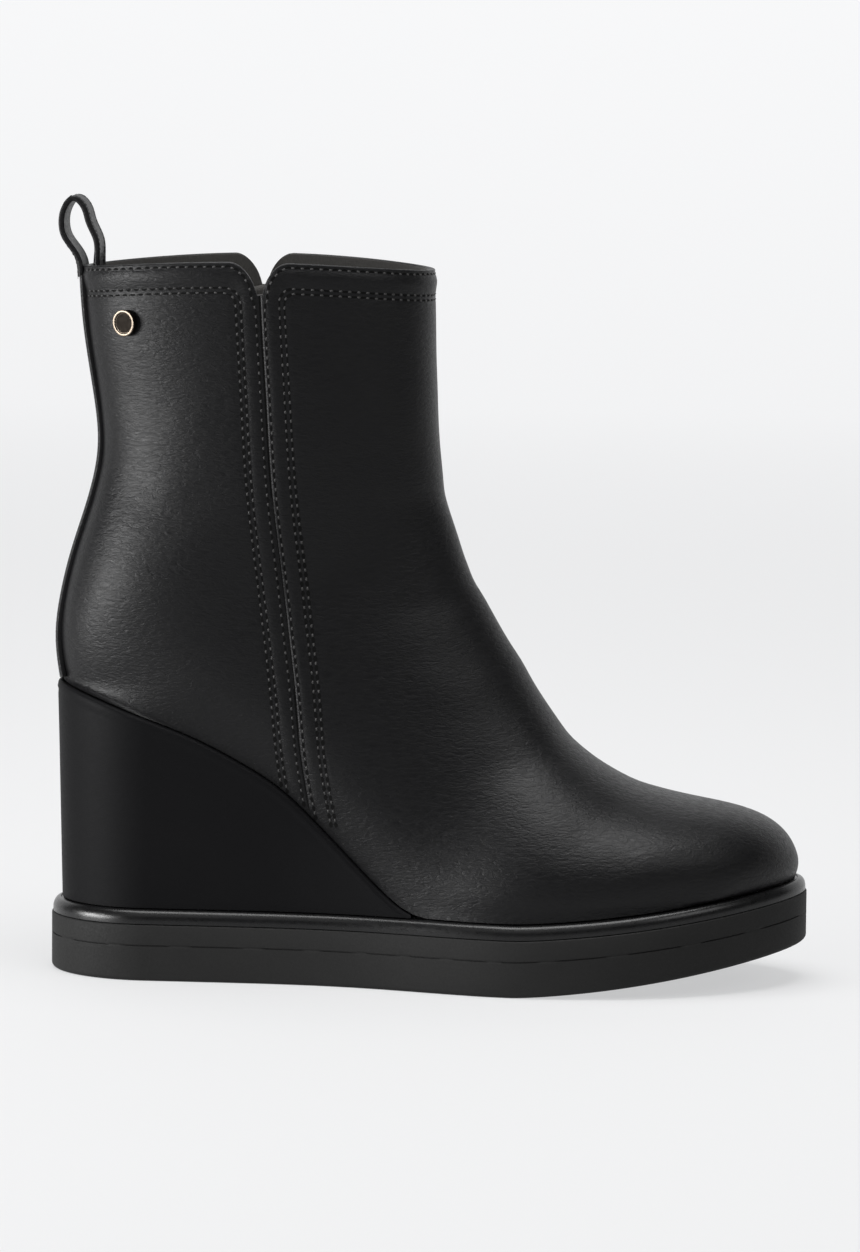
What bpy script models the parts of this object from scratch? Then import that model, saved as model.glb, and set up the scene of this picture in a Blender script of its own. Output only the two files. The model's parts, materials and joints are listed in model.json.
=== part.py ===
"""Wedge ankle boot for the right foot, standing on its sole, in metres.

+X runs from heel to toe, +Z is up and +Y is the inner side of the foot, so the outer side faces -Y.
The origin lies on the floor, under the middle of the sole's length and of the heel's width.
"""

import math

import bmesh
import bpy
import numpy as np
from mathutils import Matrix, Vector

# Sizes of the sole
SOLE_LENGTH = 0.2374
HEEL_WIDTH = 0.062
BALL_WIDTH = 0.089
SOLE_THICKNESS = 0.0176
TOE_SPRING = 0.0128
TOE_THINNING = 0.0022
HEEL_ROUND = 0.033
TOE_ROUND = 0.064
TOE_SWING = 0.003
SOLE_EDGE_RADIUS = 0.0014
SOLE_LINE_BELOW_TOP = 0.0064
SOLE_LINE_DEPTH = 0.00035

# Sizes of the wrapped platform, the wedge and the insole
PLATFORM_THICKNESS = 0.0043
PLATFORM_INSET = 0.0004
PLATFORM_ROUND_WIDTH = 0.0026
PLATFORM_ROUND_HEIGHT = 0.0034
WEDGE_HEIGHT = 0.0692
WEDGE_LENGTH = 0.118
WEDGE_FOOT_INSET = 0.0033
WEDGE_FLARE = 0.0015
WEDGE_EDGE_RADIUS = 0.0015
WEDGE_TIP_HEIGHT = 0.0009
INSOLE_THICKNESS = 0.0026
INSOLE_MARGIN = 0.0019

# Sizes of the upper
UPPER_WALL = 0.002
COLLAR_HEIGHT = 0.2207
COLLAR_ARCH = 0.003
UPPER_SWELL = 0.0052
WEDGE_LIP = 0.0018
FEATHER_INSET = 0.0033
RIDGE_SHIFT = 0.0025
NOTCH_DEPTH = 0.0100
NOTCH_REAR_WIDTH = 0.0078
NOTCH_FRONT_WIDTH = 0.0084
MEDIAL_SEAM_SHIFT = -0.0056
NOTCH_FLOOR = 0.0022
NOTCH_ROUNDNESS = 1.7
SEAM_GROOVE_DEPTH = 0.0006

# Sizes of the small pieces
BACKSTAY_WIDTH = 0.017
BACKSTAY_THICKNESS = 0.0012
LOOP_STRAP_WIDTH = 0.014
LOOP_STRAP_THICKNESS = 0.0018
LOOP_HEIGHT = 0.0215
LOOP_WIDTH = 0.0080
LOOP_LEAN = 0.0035
LOOP_TAIL = 0.014
LOOP_CURVE = 0.085
GUSSET_WIDTH = 0.012
GUSSET_LENGTH = 0.055
GUSSET_THICKNESS = 0.0009
STUD_DIAMETER = 0.0082
STUD_HEIGHT = 0.0021
STUD_RIM = 0.0013
STUD_DISH = 0.0007
STUD_BEHIND_SEAM = 0.0425
STUD_BELOW_COLLAR = 0.0165

CLEARANCE = 0.0003
SEAT_GAP = 0.0004

LATERAL, MEDIAL = -1.0, 1.0
HEEL_X = -SOLE_LENGTH / 2
TOE_X = SOLE_LENGTH / 2

# Half widths of the sole. station: share of the sole's length from the heel.
# Each half width is a share of HEEL_WIDTH plus a share of BALL_WIDTH.
OUTLINE_COLUMNS = ("station", "lateral_heel", "lateral_ball", "medial_heel", "medial_ball")
OUTLINE = (
    (0.000, 0.500, 0.000, 0.500, 0.000),
    (0.140, 0.510, 0.000, 0.494, 0.000),
    (0.250, 0.516, 0.000, 0.492, 0.000),
    (0.340, 0.300, 0.162, 0.300, 0.126),
    (0.440, 0.166, 0.300, 0.150, 0.236),
    (0.535, 0.000, 0.490, 0.000, 0.382),
    (0.610, 0.000, 0.538, 0.000, 0.428),
    (0.680, 0.000, 0.549, 0.000, 0.455),
    (0.760, 0.000, 0.540, 0.000, 0.456),
    (0.880, 0.000, 0.518, 0.000, 0.444),
    (1.000, 0.000, 0.472, 0.000, 0.427),
)

# Top of the wedge. along: share of WEDGE_LENGTH from the heel; rise: share of WEDGE_HEIGHT.
SEAT_COLUMNS = ("along", "rise")
SEAT = (
    (0.000, 1.000),
    (0.115, 0.945),
    (0.258, 0.861),
    (0.394, 0.772),
    (0.529, 0.655),
    (0.630, 0.543),
    (0.698, 0.438),
    (0.767, 0.322),
    (0.836, 0.204),
    (0.904, 0.096),
    (0.958, 0.030),
    (1.000, 0.004),
    (1.060, 0.000),
)

# Sections of the last from the toe to the collar, each in a plane through a front and a rear point.
# front_x, rear_x: shares of the sole's length from the heel.
# front_z: share of the height between platform and collar. rear_z: share of that between heel seat and collar;
# None in front_z means level with the rear point, and None in rear_z means on the seat.
# swell: share of UPPER_SWELL. widest: where along the section it is widest, from the front point.
# crown, tuck, close: exponents of the curve at the front, towards the seat and at its end.
# nose: how far the section follows the plan of the toe. ridge: share of RIDGE_SHIFT.
SECTION_COLUMNS = (
    "front_x", "front_z", "rear_x", "rear_z", "swell", "widest", "crown", "tuck", "close", "nose", "ridge",
)
SECTIONS = (
    (0.9853, 0.0025, 0.886, None, 0.03, 0.86, 2.00, 2.6, 1.00, 1.00, 0.0),
    (0.9886, 0.0200, 0.870, None, 0.10, 0.84, 2.00, 2.6, 1.00, 0.90, 0.0),
    (0.9852, 0.0440, 0.857, None, 0.18, 0.82, 2.05, 2.6, 1.00, 0.72, 0.0),
    (0.9705, 0.0770, 0.840, None, 0.24, 0.80, 2.15, 2.6, 1.00, 0.50, 0.0),
    (0.9400, 0.1090, 0.819, None, 0.28, 0.78, 2.20, 2.6, 1.00, 0.28, 0.1),
    (0.8929, 0.1345, 0.790, None, 0.31, 0.77, 2.20, 2.6, 1.00, 0.10, 0.2),
    (0.8340, 0.1568, 0.744, None, 0.33, 0.76, 2.18, 2.6, 1.00, 0.00, 0.4),
    (0.7773, 0.1842, 0.681, None, 0.35, 0.76, 2.12, 2.6, 1.00, 0.00, 0.6),
    (0.7206, 0.2255, 0.609, None, 0.38, 0.76, 2.06, 2.6, 1.00, 0.00, 0.8),
    (0.6765, 0.2800, 0.534, None, 0.44, 0.76, 2.00, 2.5, 1.00, 0.00, 1.0),
    (0.6408, 0.3420, 0.450, None, 0.56, 0.75, 1.96, 2.4, 1.05, 0.00, 1.0),
    (0.6092, 0.4030, 0.361, None, 0.72, 0.74, 1.95, 2.3, 1.02, 0.00, 1.0),
    (0.5798, 0.4640, 0.265, None, 0.82, 0.72, 1.95, 2.3, 1.04, 0.00, 0.9),
    (0.5559, 0.5170, 0.155, None, 0.86, 0.68, 1.98, 2.3, 1.10, 0.00, 0.8),
    (0.5399, 0.5590, 0.067, None, 0.82, 0.64, 2.02, 2.3, 1.34, 0.00, 0.6),
    (0.5307, 0.5920, None, None, 0.78, 0.61, 2.06, 2.2, 1.96, 0.00, 0.5),
    (0.5218, 0.6300, 0.0101, 0.100, 0.88, 0.58, 2.10, 2.3, 2.20, 0.00, 0.4),
    (0.5164, 0.6650, 0.0158, 0.199, 0.97, 0.56, 2.12, 2.3, 2.20, 0.00, 0.3),
    (0.5130, 0.6980, 0.0296, 0.306, 0.98, 0.54, 2.14, 2.3, 2.20, 0.00, 0.2),
    (0.5105, 0.7285, 0.0483, 0.414, 0.92, 0.53, 2.16, 2.3, 2.20, 0.00, 0.1),
    (0.5088, 0.7590, 0.0622, 0.515, 0.89, 0.52, 2.18, 2.2, 2.20, 0.00, 0.0),
    (0.5076, 0.7920, 0.0651, 0.608, 0.88, 0.51, 2.20, 2.2, 2.20, 0.00, 0.0),
    (0.5063, 0.8300, 0.0580, 0.710, 0.90, 0.50, 2.20, 2.2, 2.20, 0.00, 0.0),
    (0.5050, None, 0.0500, 0.801, 0.93, 0.50, 2.20, 2.2, 2.20, 0.00, 0.0),
    (0.5038, None, 0.0432, 0.902, 0.97, 0.50, 2.20, 2.2, 2.20, 0.00, 0.0),
    (0.5013, None, 0.0385, 1.042, 1.00, 0.50, 2.20, 2.2, 2.20, 0.00, 0.0),
)
# How far above the seat a section keeps its closed form while its foot still opens.
HEEL_CLOSING_SHARPNESS = 2.5
HEEL_SECTION = 15
LEVEL_SECTION = 23
LAST_SECTION = len(SECTIONS) - 1

# Side seam, from the wedge to the collar. height: share of COLLAR_HEIGHT; along: share of the length.
SEAM_COLUMNS = ("height", "along")
SEAM = (
    (0.247, 0.355),
    (0.301, 0.346),
    (0.400, 0.337),
    (0.512, 0.324),
    (0.609, 0.313),
    (0.706, 0.303),
    (0.818, 0.296),
    (0.901, 0.291),
    (1.020, 0.285),
)

OUTLINE_STEPS = 38
COLLAR_ROWS = 5
SEAM_COLUMN_OFFSETS = (-0.0092, -0.0058, -0.0030, -0.0011, 0.0, 0.0011, 0.0030, 0.0058, 0.0092)


def natural_spline(knots, values):
    """A smooth curve through the values, as a function of the knots' variable."""
    knots, values = np.asarray(knots, float), np.asarray(values, float)
    count = len(knots)
    gaps = np.diff(knots)
    matrix = np.eye(count)
    right = np.zeros(count)
    for i in range(1, count - 1):
        matrix[i, i - 1 : i + 2] = gaps[i - 1], 2 * (gaps[i - 1] + gaps[i]), gaps[i]
        slopes = np.diff(values[i - 1 : i + 2]) / gaps[i - 1 : i + 1]
        right[i] = 6 * (slopes[1] - slopes[0])
    bends = np.linalg.solve(matrix, right)

    def curve(at):
        at = np.asarray(at, float)
        i = np.clip(np.searchsorted(knots, at) - 1, 0, count - 2)
        gap = gaps[i]
        low, high = (knots[i + 1] - at) / gap, (at - knots[i]) / gap
        bend = ((low**3 - low) * bends[i] + (high**3 - high) * bends[i + 1]) * gap**2 / 6
        return low * values[i] + high * values[i + 1] + bend

    return curve


def smooth_step(low, high, at):
    """0 below low, 1 above high, and a smooth rise between them."""
    share = np.clip((np.asarray(at, float) - low) / (high - low), 0, 1)
    return share * share * (3 - 2 * share)


def column(table, columns, name):
    """One named column of a table."""
    return [row[columns.index(name)] for row in table]


def along_sole(share):
    """X of a share of the sole's length from the heel."""
    return HEEL_X + np.asarray(share, float) * SOLE_LENGTH


def outline_curve(side):
    """Half width of the sole without its rounded ends, against X."""
    name = "lateral" if side == LATERAL else "medial"
    heel = np.array(column(OUTLINE, OUTLINE_COLUMNS, name + "_heel")) * HEEL_WIDTH
    ball = np.array(column(OUTLINE, OUTLINE_COLUMNS, name + "_ball")) * BALL_WIDTH
    return natural_spline(along_sole(column(OUTLINE, OUTLINE_COLUMNS, "station")), heel + ball)


SIDE_WIDTH = {side: outline_curve(side) for side in (LATERAL, MEDIAL)}


def rounding(distance, length):
    """Share of the full width at a distance from the tip of an end rounded over a length."""
    return np.sqrt(1 - (1 - np.clip(distance / length, 0, 1)) ** 2)


def half_width(x, side, inset):
    """Half width of the sole's outline moved inwards by an inset."""
    heel = rounding(x - (HEEL_X + inset), HEEL_ROUND - inset)
    toe = rounding((TOE_X - inset) - x, TOE_ROUND - inset)
    return (SIDE_WIDTH[side](x) - inset) * heel * toe


def centre_line(x):
    """Y of the middle of the outline, which swings inwards at the toe."""
    return TOE_SWING * smooth_step(along_sole(0.6), TOE_X, x)


def toe_rise(x):
    """Share of the toe spring at X."""
    start = along_sole(0.626)
    return np.clip((np.asarray(x, float) - start) / (TOE_X - start), 0, 1) ** 1.4


def sole_bottom(x):
    """Z of the sole's underside at X."""
    return TOE_SPRING * toe_rise(x)


def sole_top(x):
    """Z of the sole's top at X."""
    return SOLE_THICKNESS + (TOE_SPRING - TOE_THINNING) * toe_rise(x)


def platform_top(x):
    """Z of the platform's top at X."""
    return sole_top(x) + CLEARANCE + PLATFORM_THICKNESS


WEDGE_BACK = HEEL_X + WEDGE_FOOT_INSET - WEDGE_FLARE
SEAT_RISE = natural_spline(column(SEAT, SEAT_COLUMNS, "along"), column(SEAT, SEAT_COLUMNS, "rise"))


def wedge_rise(x):
    """Height of the wedge's top over the platform at X."""
    share = np.clip((np.asarray(x, float) - WEDGE_BACK) / WEDGE_LENGTH, 0, SEAT[-1][0])
    return WEDGE_HEIGHT * np.maximum(SEAT_RISE(share), 0)


def seat_height(x):
    """Z of the surface that the upper and the insole stand on."""
    return platform_top(x) + wedge_rise(x)


def wedge_edge_inset(x):
    """How far the wedge's top edge lies inside the sole's outline."""
    return WEDGE_FOOT_INSET - WEDGE_FLARE * wedge_rise(x) / WEDGE_HEIGHT


def feather_inset(x):
    """How far the upper's lower edge lies inside the sole's outline."""
    forefoot = smooth_step(WEDGE_BACK + 0.85 * WEDGE_LENGTH, WEDGE_BACK + 1.2 * WEDGE_LENGTH, x)
    return (1 - forefoot) * (wedge_edge_inset(x) + WEDGE_LIP) + forefoot * FEATHER_INSET


HEEL_TIP = float(HEEL_X + feather_inset(HEEL_X))
HEEL_SEAT = float(seat_height(HEEL_TIP) + SEAT_GAP)


def section_curves():
    """Each column of SECTIONS as a smooth function of the section number."""
    numbers = np.arange(len(SECTIONS), dtype=float)
    curves = {}
    for name in ("swell", "widest", "crown", "tuck", "close", "nose", "ridge"):
        curves[name] = natural_spline(numbers, column(SECTIONS, SECTION_COLUMNS, name))
    front_x = along_sole(column(SECTIONS, SECTION_COLUMNS, "front_x"))
    front_z = []
    for x, row in zip(front_x, SECTIONS):
        share, level = row[SECTION_COLUMNS.index("front_z")], row[SECTION_COLUMNS.index("rear_z")]
        if share is None:
            front_z.append(HEEL_SEAT + level * (COLLAR_HEIGHT - HEEL_SEAT))
        else:
            low = float(platform_top(x))
            front_z.append(low + share * (COLLAR_HEIGHT - low))
    curves["front_x"] = natural_spline(numbers, front_x)
    curves["front_z"] = natural_spline(numbers, front_z)
    seat_x = [along_sole(row[2]) for row in SECTIONS[:HEEL_SECTION]] + [HEEL_TIP]
    curves["seat_x"] = natural_spline(numbers[: HEEL_SECTION + 1], seat_x)
    back_x = [HEEL_TIP] + [along_sole(row[2]) for row in SECTIONS[HEEL_SECTION + 1 :]]
    back_z = [HEEL_SEAT] + [
        HEEL_SEAT + row[3] * (COLLAR_HEIGHT - HEEL_SEAT) for row in SECTIONS[HEEL_SECTION + 1 :]
    ]
    curves["back_x"] = natural_spline(numbers[HEEL_SECTION:], back_x)
    curves["back_z"] = natural_spline(numbers[HEEL_SECTION:], back_z)
    return curves


CURVE = section_curves()


def shifted(name, number, inward, low, high):
    """A profile's X and Z moved sideways to its run; a positive shift goes to -X on a rising run."""
    before, after = np.maximum(number - 0.05, low), np.minimum(number + 0.05, high)
    run = CURVE[name + "_x"](after) - CURVE[name + "_x"](before)
    rise = CURVE[name + "_z"](after) - CURVE[name + "_z"](before)
    length = np.hypot(run, rise)
    x = CURVE[name + "_x"](number) - inward * rise / length
    return x, CURVE[name + "_z"](number) + inward * run / length


def front_point(number, inward=0.0):
    """X and Z of the front end of a section."""
    return shifted("front", number, inward, 0, LAST_SECTION)


def rear_point(number, inward=0.0):
    """X and Z of the rear end of a section: on the seat up to the heel, then up the back."""
    seat_x = CURVE["seat_x"](np.minimum(number, HEEL_SECTION))
    seat_x = seat_x + inward * np.clip(1 - (seat_x - HEEL_TIP) / HEEL_ROUND, 0, 1)
    back_x, back_z = shifted("back", np.maximum(number, HEEL_SECTION), -inward, HEEL_SECTION, LAST_SECTION)
    on_seat = number < HEEL_SECTION
    x = np.where(on_seat, seat_x, back_x)
    z = np.where(on_seat, seat_height(seat_x) + SEAT_GAP, back_z)
    return x, z


def skin(number, turn, side, inward=0.0):
    """Points on the outside of the upper, or a distance inside it.

    number is the section, turn the angle round it from the front line (0) to the rear end (pi).
    """
    number, turn = np.broadcast_arrays(np.asarray(number, float), np.asarray(turn, float))
    front_x, front_z = front_point(number, inward)
    rear_x, rear_z = rear_point(number, inward)
    widest = CURVE["widest"](number)
    crown, tuck, close = CURVE["crown"](number), CURVE["tuck"](number), CURVE["close"](number)
    nose = np.clip(CURVE["nose"](number), 0, 1)
    cosine, sine = np.cos(turn), np.sin(np.clip(turn, 0, math.pi))
    before = turn <= math.pi / 2
    rising = widest * (1 - np.clip(cosine, 0, 1) ** (2 / crown))
    falling = widest + (1 - widest) * np.clip(-cosine, 0, 1) ** (2 / tuck)
    share = np.where(before, rising, falling)
    x = front_x + share * (rear_x - front_x)
    z = front_z + share * (rear_z - front_z)
    inset = feather_inset(rear_x) + inward
    swell = UPPER_SWELL * CURVE["swell"](number)
    toe = rounding((TOE_X - inset) - rear_x, TOE_ROUND - inset)
    full = (SIDE_WIDTH[side](rear_x) - inset) * toe + swell
    grown = np.where(before, sine ** (2 / crown), 1.0)
    nose_round = rounding(front_x - x, TOE_ROUND - inset)
    nose_width = (SIDE_WIDTH[side](x) - inset + swell) * nose_round
    body = (1 - nose) * full * grown + nose * nose_width
    end_round = rounding(front_x - rear_x, TOE_ROUND - inset)
    end_body = (1 - nose) * full + nose * (SIDE_WIDTH[side](rear_x) - inset + swell) * end_round
    foot = np.where(number < HEEL_SECTION, half_width(rear_x, side, inset) / end_body, 0.0)
    closed = np.maximum(sine, 0) ** (2 / close)
    sharp = HEEL_CLOSING_SHARPNESS
    closing = np.where(before, 1.0, (foot**sharp + (1 - foot**sharp) * closed**sharp) ** (1 / sharp))
    spine = (1 - share) * (centre_line(front_x) + RIDGE_SHIFT * CURVE["ridge"](number))
    spine = spine + share * centre_line(rear_x)
    return np.stack([x, spine + side * body * closing, z], -1)


def skin_normal(number, turn, side):
    """Outward unit normals of the upper."""
    step = 1e-3
    along = skin(number + step, turn, side) - skin(number - step, turn, side)
    low, high = np.clip(turn - step, 0, math.pi), np.clip(turn + step, 0, math.pi)
    across = skin(number, high, side) - skin(number, low, side)
    normal = np.cross(across, along) * side
    return normal / np.linalg.norm(normal, axis=-1, keepdims=True)


def turn_at_share(number, share):
    """The turn that lies at a share of the way from front to rear."""
    widest, crown, tuck = CURVE["widest"](number), CURVE["crown"](number), CURVE["tuck"](number)
    front = np.clip(1 - share / widest, 0, 1) ** (crown / 2)
    rear = np.clip((share - widest) / (1 - widest), 0, 1) ** (tuck / 2)
    return np.where(share <= widest, np.arccos(front), np.arccos(-rear))


SEAM_LINE = natural_spline(
    np.array(column(SEAM, SEAM_COLUMNS, "height")) * COLLAR_HEIGHT,
    along_sole(column(SEAM, SEAM_COLUMNS, "along")),
)


def seam_x(z, side):
    """X of the side seam at a height."""
    return SEAM_LINE(z) + (MEDIAL_SEAM_SHIFT if side == MEDIAL else 0.0)


def seam_share(number, side):
    """Share of the way from front to rear at which a section crosses the side seam."""
    front_x, front_z = CURVE["front_x"](number), CURVE["front_z"](number)
    rear_x, rear_z = rear_point(number)
    share = np.full(np.shape(number), 0.5)
    for _ in range(12):
        height = front_z + share * (rear_z - front_z)
        share = np.clip((front_x - seam_x(height, side)) / (front_x - rear_x), 0.1, 0.86)
    return share


LEVELS = np.linspace(LEVEL_SECTION, LAST_SECTION, 60)
LEVEL_HEIGHTS = rear_point(LEVELS)[1]


def section_at_height(z):
    """Number of the level section at a height."""
    return np.interp(z, LEVEL_HEIGHTS, LEVELS)


def notch_drop(distance):
    """How far the collar dips at a distance from the seam, which is negative to the rear."""
    width = np.where(distance < 0, NOTCH_REAR_WIDTH, NOTCH_FRONT_WIDTH)
    into = np.clip(1 - (np.abs(distance) - NOTCH_FLOOR / 2) / width, 0, 1)
    return NOTCH_DEPTH * (1 - (1 - into**NOTCH_ROUNDNESS) ** (1 / NOTCH_ROUNDNESS))


def collar_z(x, side):
    """Height of the collar's edge at X."""
    number = section_at_height(COLLAR_HEIGHT)
    back, front = rear_point(number)[0], CURVE["front_x"](number)
    share = np.clip((x - back) / (front - back), 0, 1)
    arch = COLLAR_ARCH * np.sin(math.pi * share)
    return COLLAR_HEIGHT + arch - notch_drop(x - seam_x(COLLAR_HEIGHT, side))


def even_turns(number, count):
    """Turns from rear to front that lie evenly along a section."""
    fine = np.linspace(math.pi, 0, 181)
    steps = np.linalg.norm(np.diff(skin(number, fine, LATERAL), axis=0), axis=1)
    lengths = np.concatenate([[0], np.cumsum(steps)])
    return np.interp(np.linspace(0, lengths[-1], count + 1), lengths, fine)


def column_turns(number, side, rear_count, front_count):
    """Turns of the upper's columns on one side from rear to front, and the seam column's place.

    On the shaft the columns keep their distance from the side seam, and on the foot they spread evenly.
    """
    count = rear_count + len(SEAM_COLUMN_OFFSETS) + front_count
    even = even_turns(number, count)
    strap = math.asin((BACKSTAY_WIDTH / HEEL_WIDTH) ** 1.1)
    length = CURVE["front_x"](number) - rear_point(number)[0]
    at_seam = seam_share(number, side)
    near = [float(turn_at_share(number, at_seam - offset / length)) for offset in SEAM_COLUMN_OFFSETS]
    rear = [math.pi, math.pi - strap / 2]
    rear += list(np.linspace(math.pi - strap, near[0], rear_count - 1)[:-1])
    front = list(np.linspace(near[-1], 0, front_count + 2)[1:])
    followed = np.array(rear + near + front)
    weight = float(smooth_step(HEEL_SECTION - 4.1, HEEL_SECTION - 3.1, number))
    return (1 - weight) * even + weight * followed, weight


def new_object(name, mesh, collection, finish):
    """An object of a mesh in a collection, with its material."""
    obj = bpy.data.objects.new(name, mesh)
    collection.objects.link(obj)
    mesh.materials.append(finish)
    return obj


def mesh_of(name, points, faces):
    """A mesh of points and faces, with its normals outwards."""
    mesh = bpy.data.meshes.new(name)
    mesh.from_pydata([tuple(map(float, p)) for p in points], [], faces)
    work = bmesh.new()
    work.from_mesh(mesh)
    bmesh.ops.delete(work, geom=[v for v in work.verts if not v.link_faces], context="VERTS")
    bmesh.ops.remove_doubles(work, verts=work.verts, dist=1e-6)
    bmesh.ops.recalc_face_normals(work, faces=work.faces)
    work.to_mesh(mesh)
    work.free()
    mesh.shade_smooth()
    mesh.set_sharp_from_angle(angle=math.radians(35))
    return mesh


def stations(start, end, count, blunt_end=False):
    """X positions that crowd towards rounded ends."""
    angles = np.linspace(0, math.pi / 2 if blunt_end else math.pi, count + 1)
    share = (1 - np.cos(angles)) / (1 if blunt_end else 2)
    return start + share * (end - start)


def outline_ring(xs, inset, heights, blunt_end=False):
    """Points round an outline: the heel's tip, the outer side, the toe and back along the inner side."""
    insets = np.broadcast_to(inset, xs.shape)
    lateral = [(x, centre_line(x) - half_width(x, LATERAL, i), z) for x, i, z in zip(xs, insets, heights)]
    medial = [(x, centre_line(x) + half_width(x, MEDIAL, i), z) for x, i, z in zip(xs, insets, heights)]
    last = medial[1:][::-1] if blunt_end else medial[1:-1][::-1]
    return lateral + last


def loft(name, rings, count, blunt_end=False):
    """A solid through rings of equal length, closed at both ends by rungs between its two sides."""
    size = len(rings[0])
    points = [p for ring in rings for p in ring]
    faces = []
    for level in range(len(rings) - 1):
        low, high = level * size, (level + 1) * size
        for i in range(size):
            j = (i + 1) % size
            faces.append((low + i, low + j, high + j, high + i))
    for start, turned in ((0, True), ((len(rings) - 1) * size, False)):
        for i in range(count):
            rung = [start + i, start + i + 1, start + (size - i - 1) % size, start + (size - i) % size]
            if i == count - 1 and not blunt_end:
                rung = [start + i, start + i + 1, start + size - i]
            elif i == 0:
                rung = [start, start + 1, start + size - 1]
            faces.append(tuple(reversed(rung)) if turned else tuple(rung))
    return mesh_of(name, points, faces)


def scaled_stations(inset, start=None, end=None):
    """Stations of the whole outline at an inset."""
    low = HEEL_X + inset if start is None else start
    high = TOE_X - inset if end is None else end
    return stations(low, high, OUTLINE_STEPS)


def outsole(collection, finish):
    """The thick sole, with a rounded lower edge and a fine line round its side."""
    rings = []
    for angle in (0, 45, 90):
        inset = SOLE_EDGE_RADIUS * (1 - math.sin(math.radians(angle)))
        lift = SOLE_EDGE_RADIUS * (1 - math.cos(math.radians(angle)))
        xs = scaled_stations(inset)
        rings.append(outline_ring(xs, inset, sole_bottom(xs) + lift))
    for below, inset in (
        (SOLE_LINE_BELOW_TOP + SOLE_LINE_DEPTH, 0.0),
        (SOLE_LINE_BELOW_TOP, SOLE_LINE_DEPTH),
        (SOLE_LINE_BELOW_TOP - SOLE_LINE_DEPTH, 0.0),
        (PLATFORM_INSET, 0.0),
        (0.0, PLATFORM_INSET),
    ):
        xs = scaled_stations(inset)
        rings.append(outline_ring(xs, inset, sole_top(xs) - below))
    return new_object("outsole", loft("outsole", rings, OUTLINE_STEPS), collection, finish)


def platform(collection, finish):
    """The thin wrapped platform on the sole, with a rounded upper edge."""
    xs = scaled_stations(PLATFORM_INSET)
    rings = [outline_ring(xs, PLATFORM_INSET, sole_top(xs) + CLEARANCE)]
    for angle in (0, 25, 50, 72, 90):
        inset = PLATFORM_INSET + PLATFORM_ROUND_WIDTH * (1 - math.cos(math.radians(angle)))
        drop = PLATFORM_ROUND_HEIGHT * (1 - math.sin(math.radians(angle)))
        xs = scaled_stations(inset)
        rings.append(outline_ring(xs, inset, platform_top(xs) - drop))
    return new_object("platform", loft("platform", rings, OUTLINE_STEPS), collection, finish)


def wedge_front():
    """X at which the wedge has thinned to its tip."""
    xs = np.linspace(WEDGE_BACK + 0.7 * WEDGE_LENGTH, WEDGE_BACK + WEDGE_LENGTH, 200)
    return float(np.interp(-(WEDGE_TIP_HEIGHT + CLEARANCE), -wedge_rise(xs), xs))


def wedge(collection, finish):
    """The wrapped wedge, from the heel to its thin tip at the ball, with a rounded upper edge."""
    front = wedge_front()
    rings = []
    levels = [(0.0, 0.0), (0.35, 0.0), (0.7, 0.0)] + [(1.0, math.radians(a)) for a in (0, 35, 65, 90)]
    for share, angle in levels:
        edge = WEDGE_FOOT_INSET - WEDGE_FLARE * share
        into = WEDGE_EDGE_RADIUS * (1 - math.cos(angle))
        xs = stations(HEEL_X + edge + into, front, OUTLINE_STEPS, blunt_end=True)
        height = wedge_rise(xs) - CLEARANCE
        radius = np.minimum(WEDGE_EDGE_RADIUS, 0.45 * height)
        rim = radius * (1 - math.sin(angle))
        insets = WEDGE_FOOT_INSET - WEDGE_FLARE * share * wedge_rise(xs) / WEDGE_HEIGHT
        insets = insets + radius * (1 - math.cos(angle))
        z = platform_top(xs) + CLEARANCE + share * (height - rim)
        rings.append(outline_ring(xs, insets, z, blunt_end=True))
    return new_object("wedge", loft("wedge", rings, OUTLINE_STEPS, blunt_end=True), collection, finish)


def insole(collection, finish):
    """The insole inside the upper, on the wedge and the platform."""
    rings = []
    for lift in (CLEARANCE, CLEARANCE + INSOLE_THICKNESS):
        margin = UPPER_WALL + INSOLE_MARGIN
        start = HEEL_TIP + margin
        end = TOE_X - FEATHER_INSET - margin
        xs = scaled_stations(0.0, start, end)
        insets = feather_inset(xs) + margin
        rings.append(outline_ring(xs, insets, seat_height(xs) + lift))
    return new_object("insole", loft("insole", rings, OUTLINE_STEPS), collection, finish)


def upper_spots(foot_sections, rear_count, front_count, collar_rows):
    """Rows of spots on the upper from the toe to the collar, and which of them are closed rings.

    Each row is its section numbers, turns, sides and the depth of the seam's groove there.
    """
    seam = rear_count + SEAM_COLUMN_OFFSETS.index(0.0)
    rim = section_at_height(COLLAR_HEIGHT)
    base = float(rear_point(np.array(float(foot_sections[-1])))[1])
    rows, closed = [], []
    for level in range(1 - len(foot_sections), collar_rows + 1):
        halves = []
        for side in (LATERAL, MEDIAL):
            if level <= 0:
                number = foot_sections[level - 1]
                turns, weight = column_turns(number, side, rear_count, front_count)
                numbers = np.full(len(turns), float(number))
            else:
                turns, weight = column_turns(rim, side, rear_count, front_count)
                tops = collar_z(skin(rim, turns, side)[:, 0], side)
                numbers = section_at_height(base + (tops - base) * level / collar_rows)
                turns = np.array([
                    column_turns(number, side, rear_count, front_count)[0][i]
                    for i, number in enumerate(numbers)
                ])
            groove = np.zeros(len(turns))
            groove[seam] = SEAM_GROOVE_DEPTH * weight
            halves.append(np.stack([numbers, turns, np.full(len(turns), side), groove]))
        rows.append(np.concatenate([halves[0], halves[1][:, ::-1][:, 1:]], axis=1))
        closed.append(level > 0 or foot_sections[level - 1] >= HEEL_SECTION)
    return rows, closed


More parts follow.
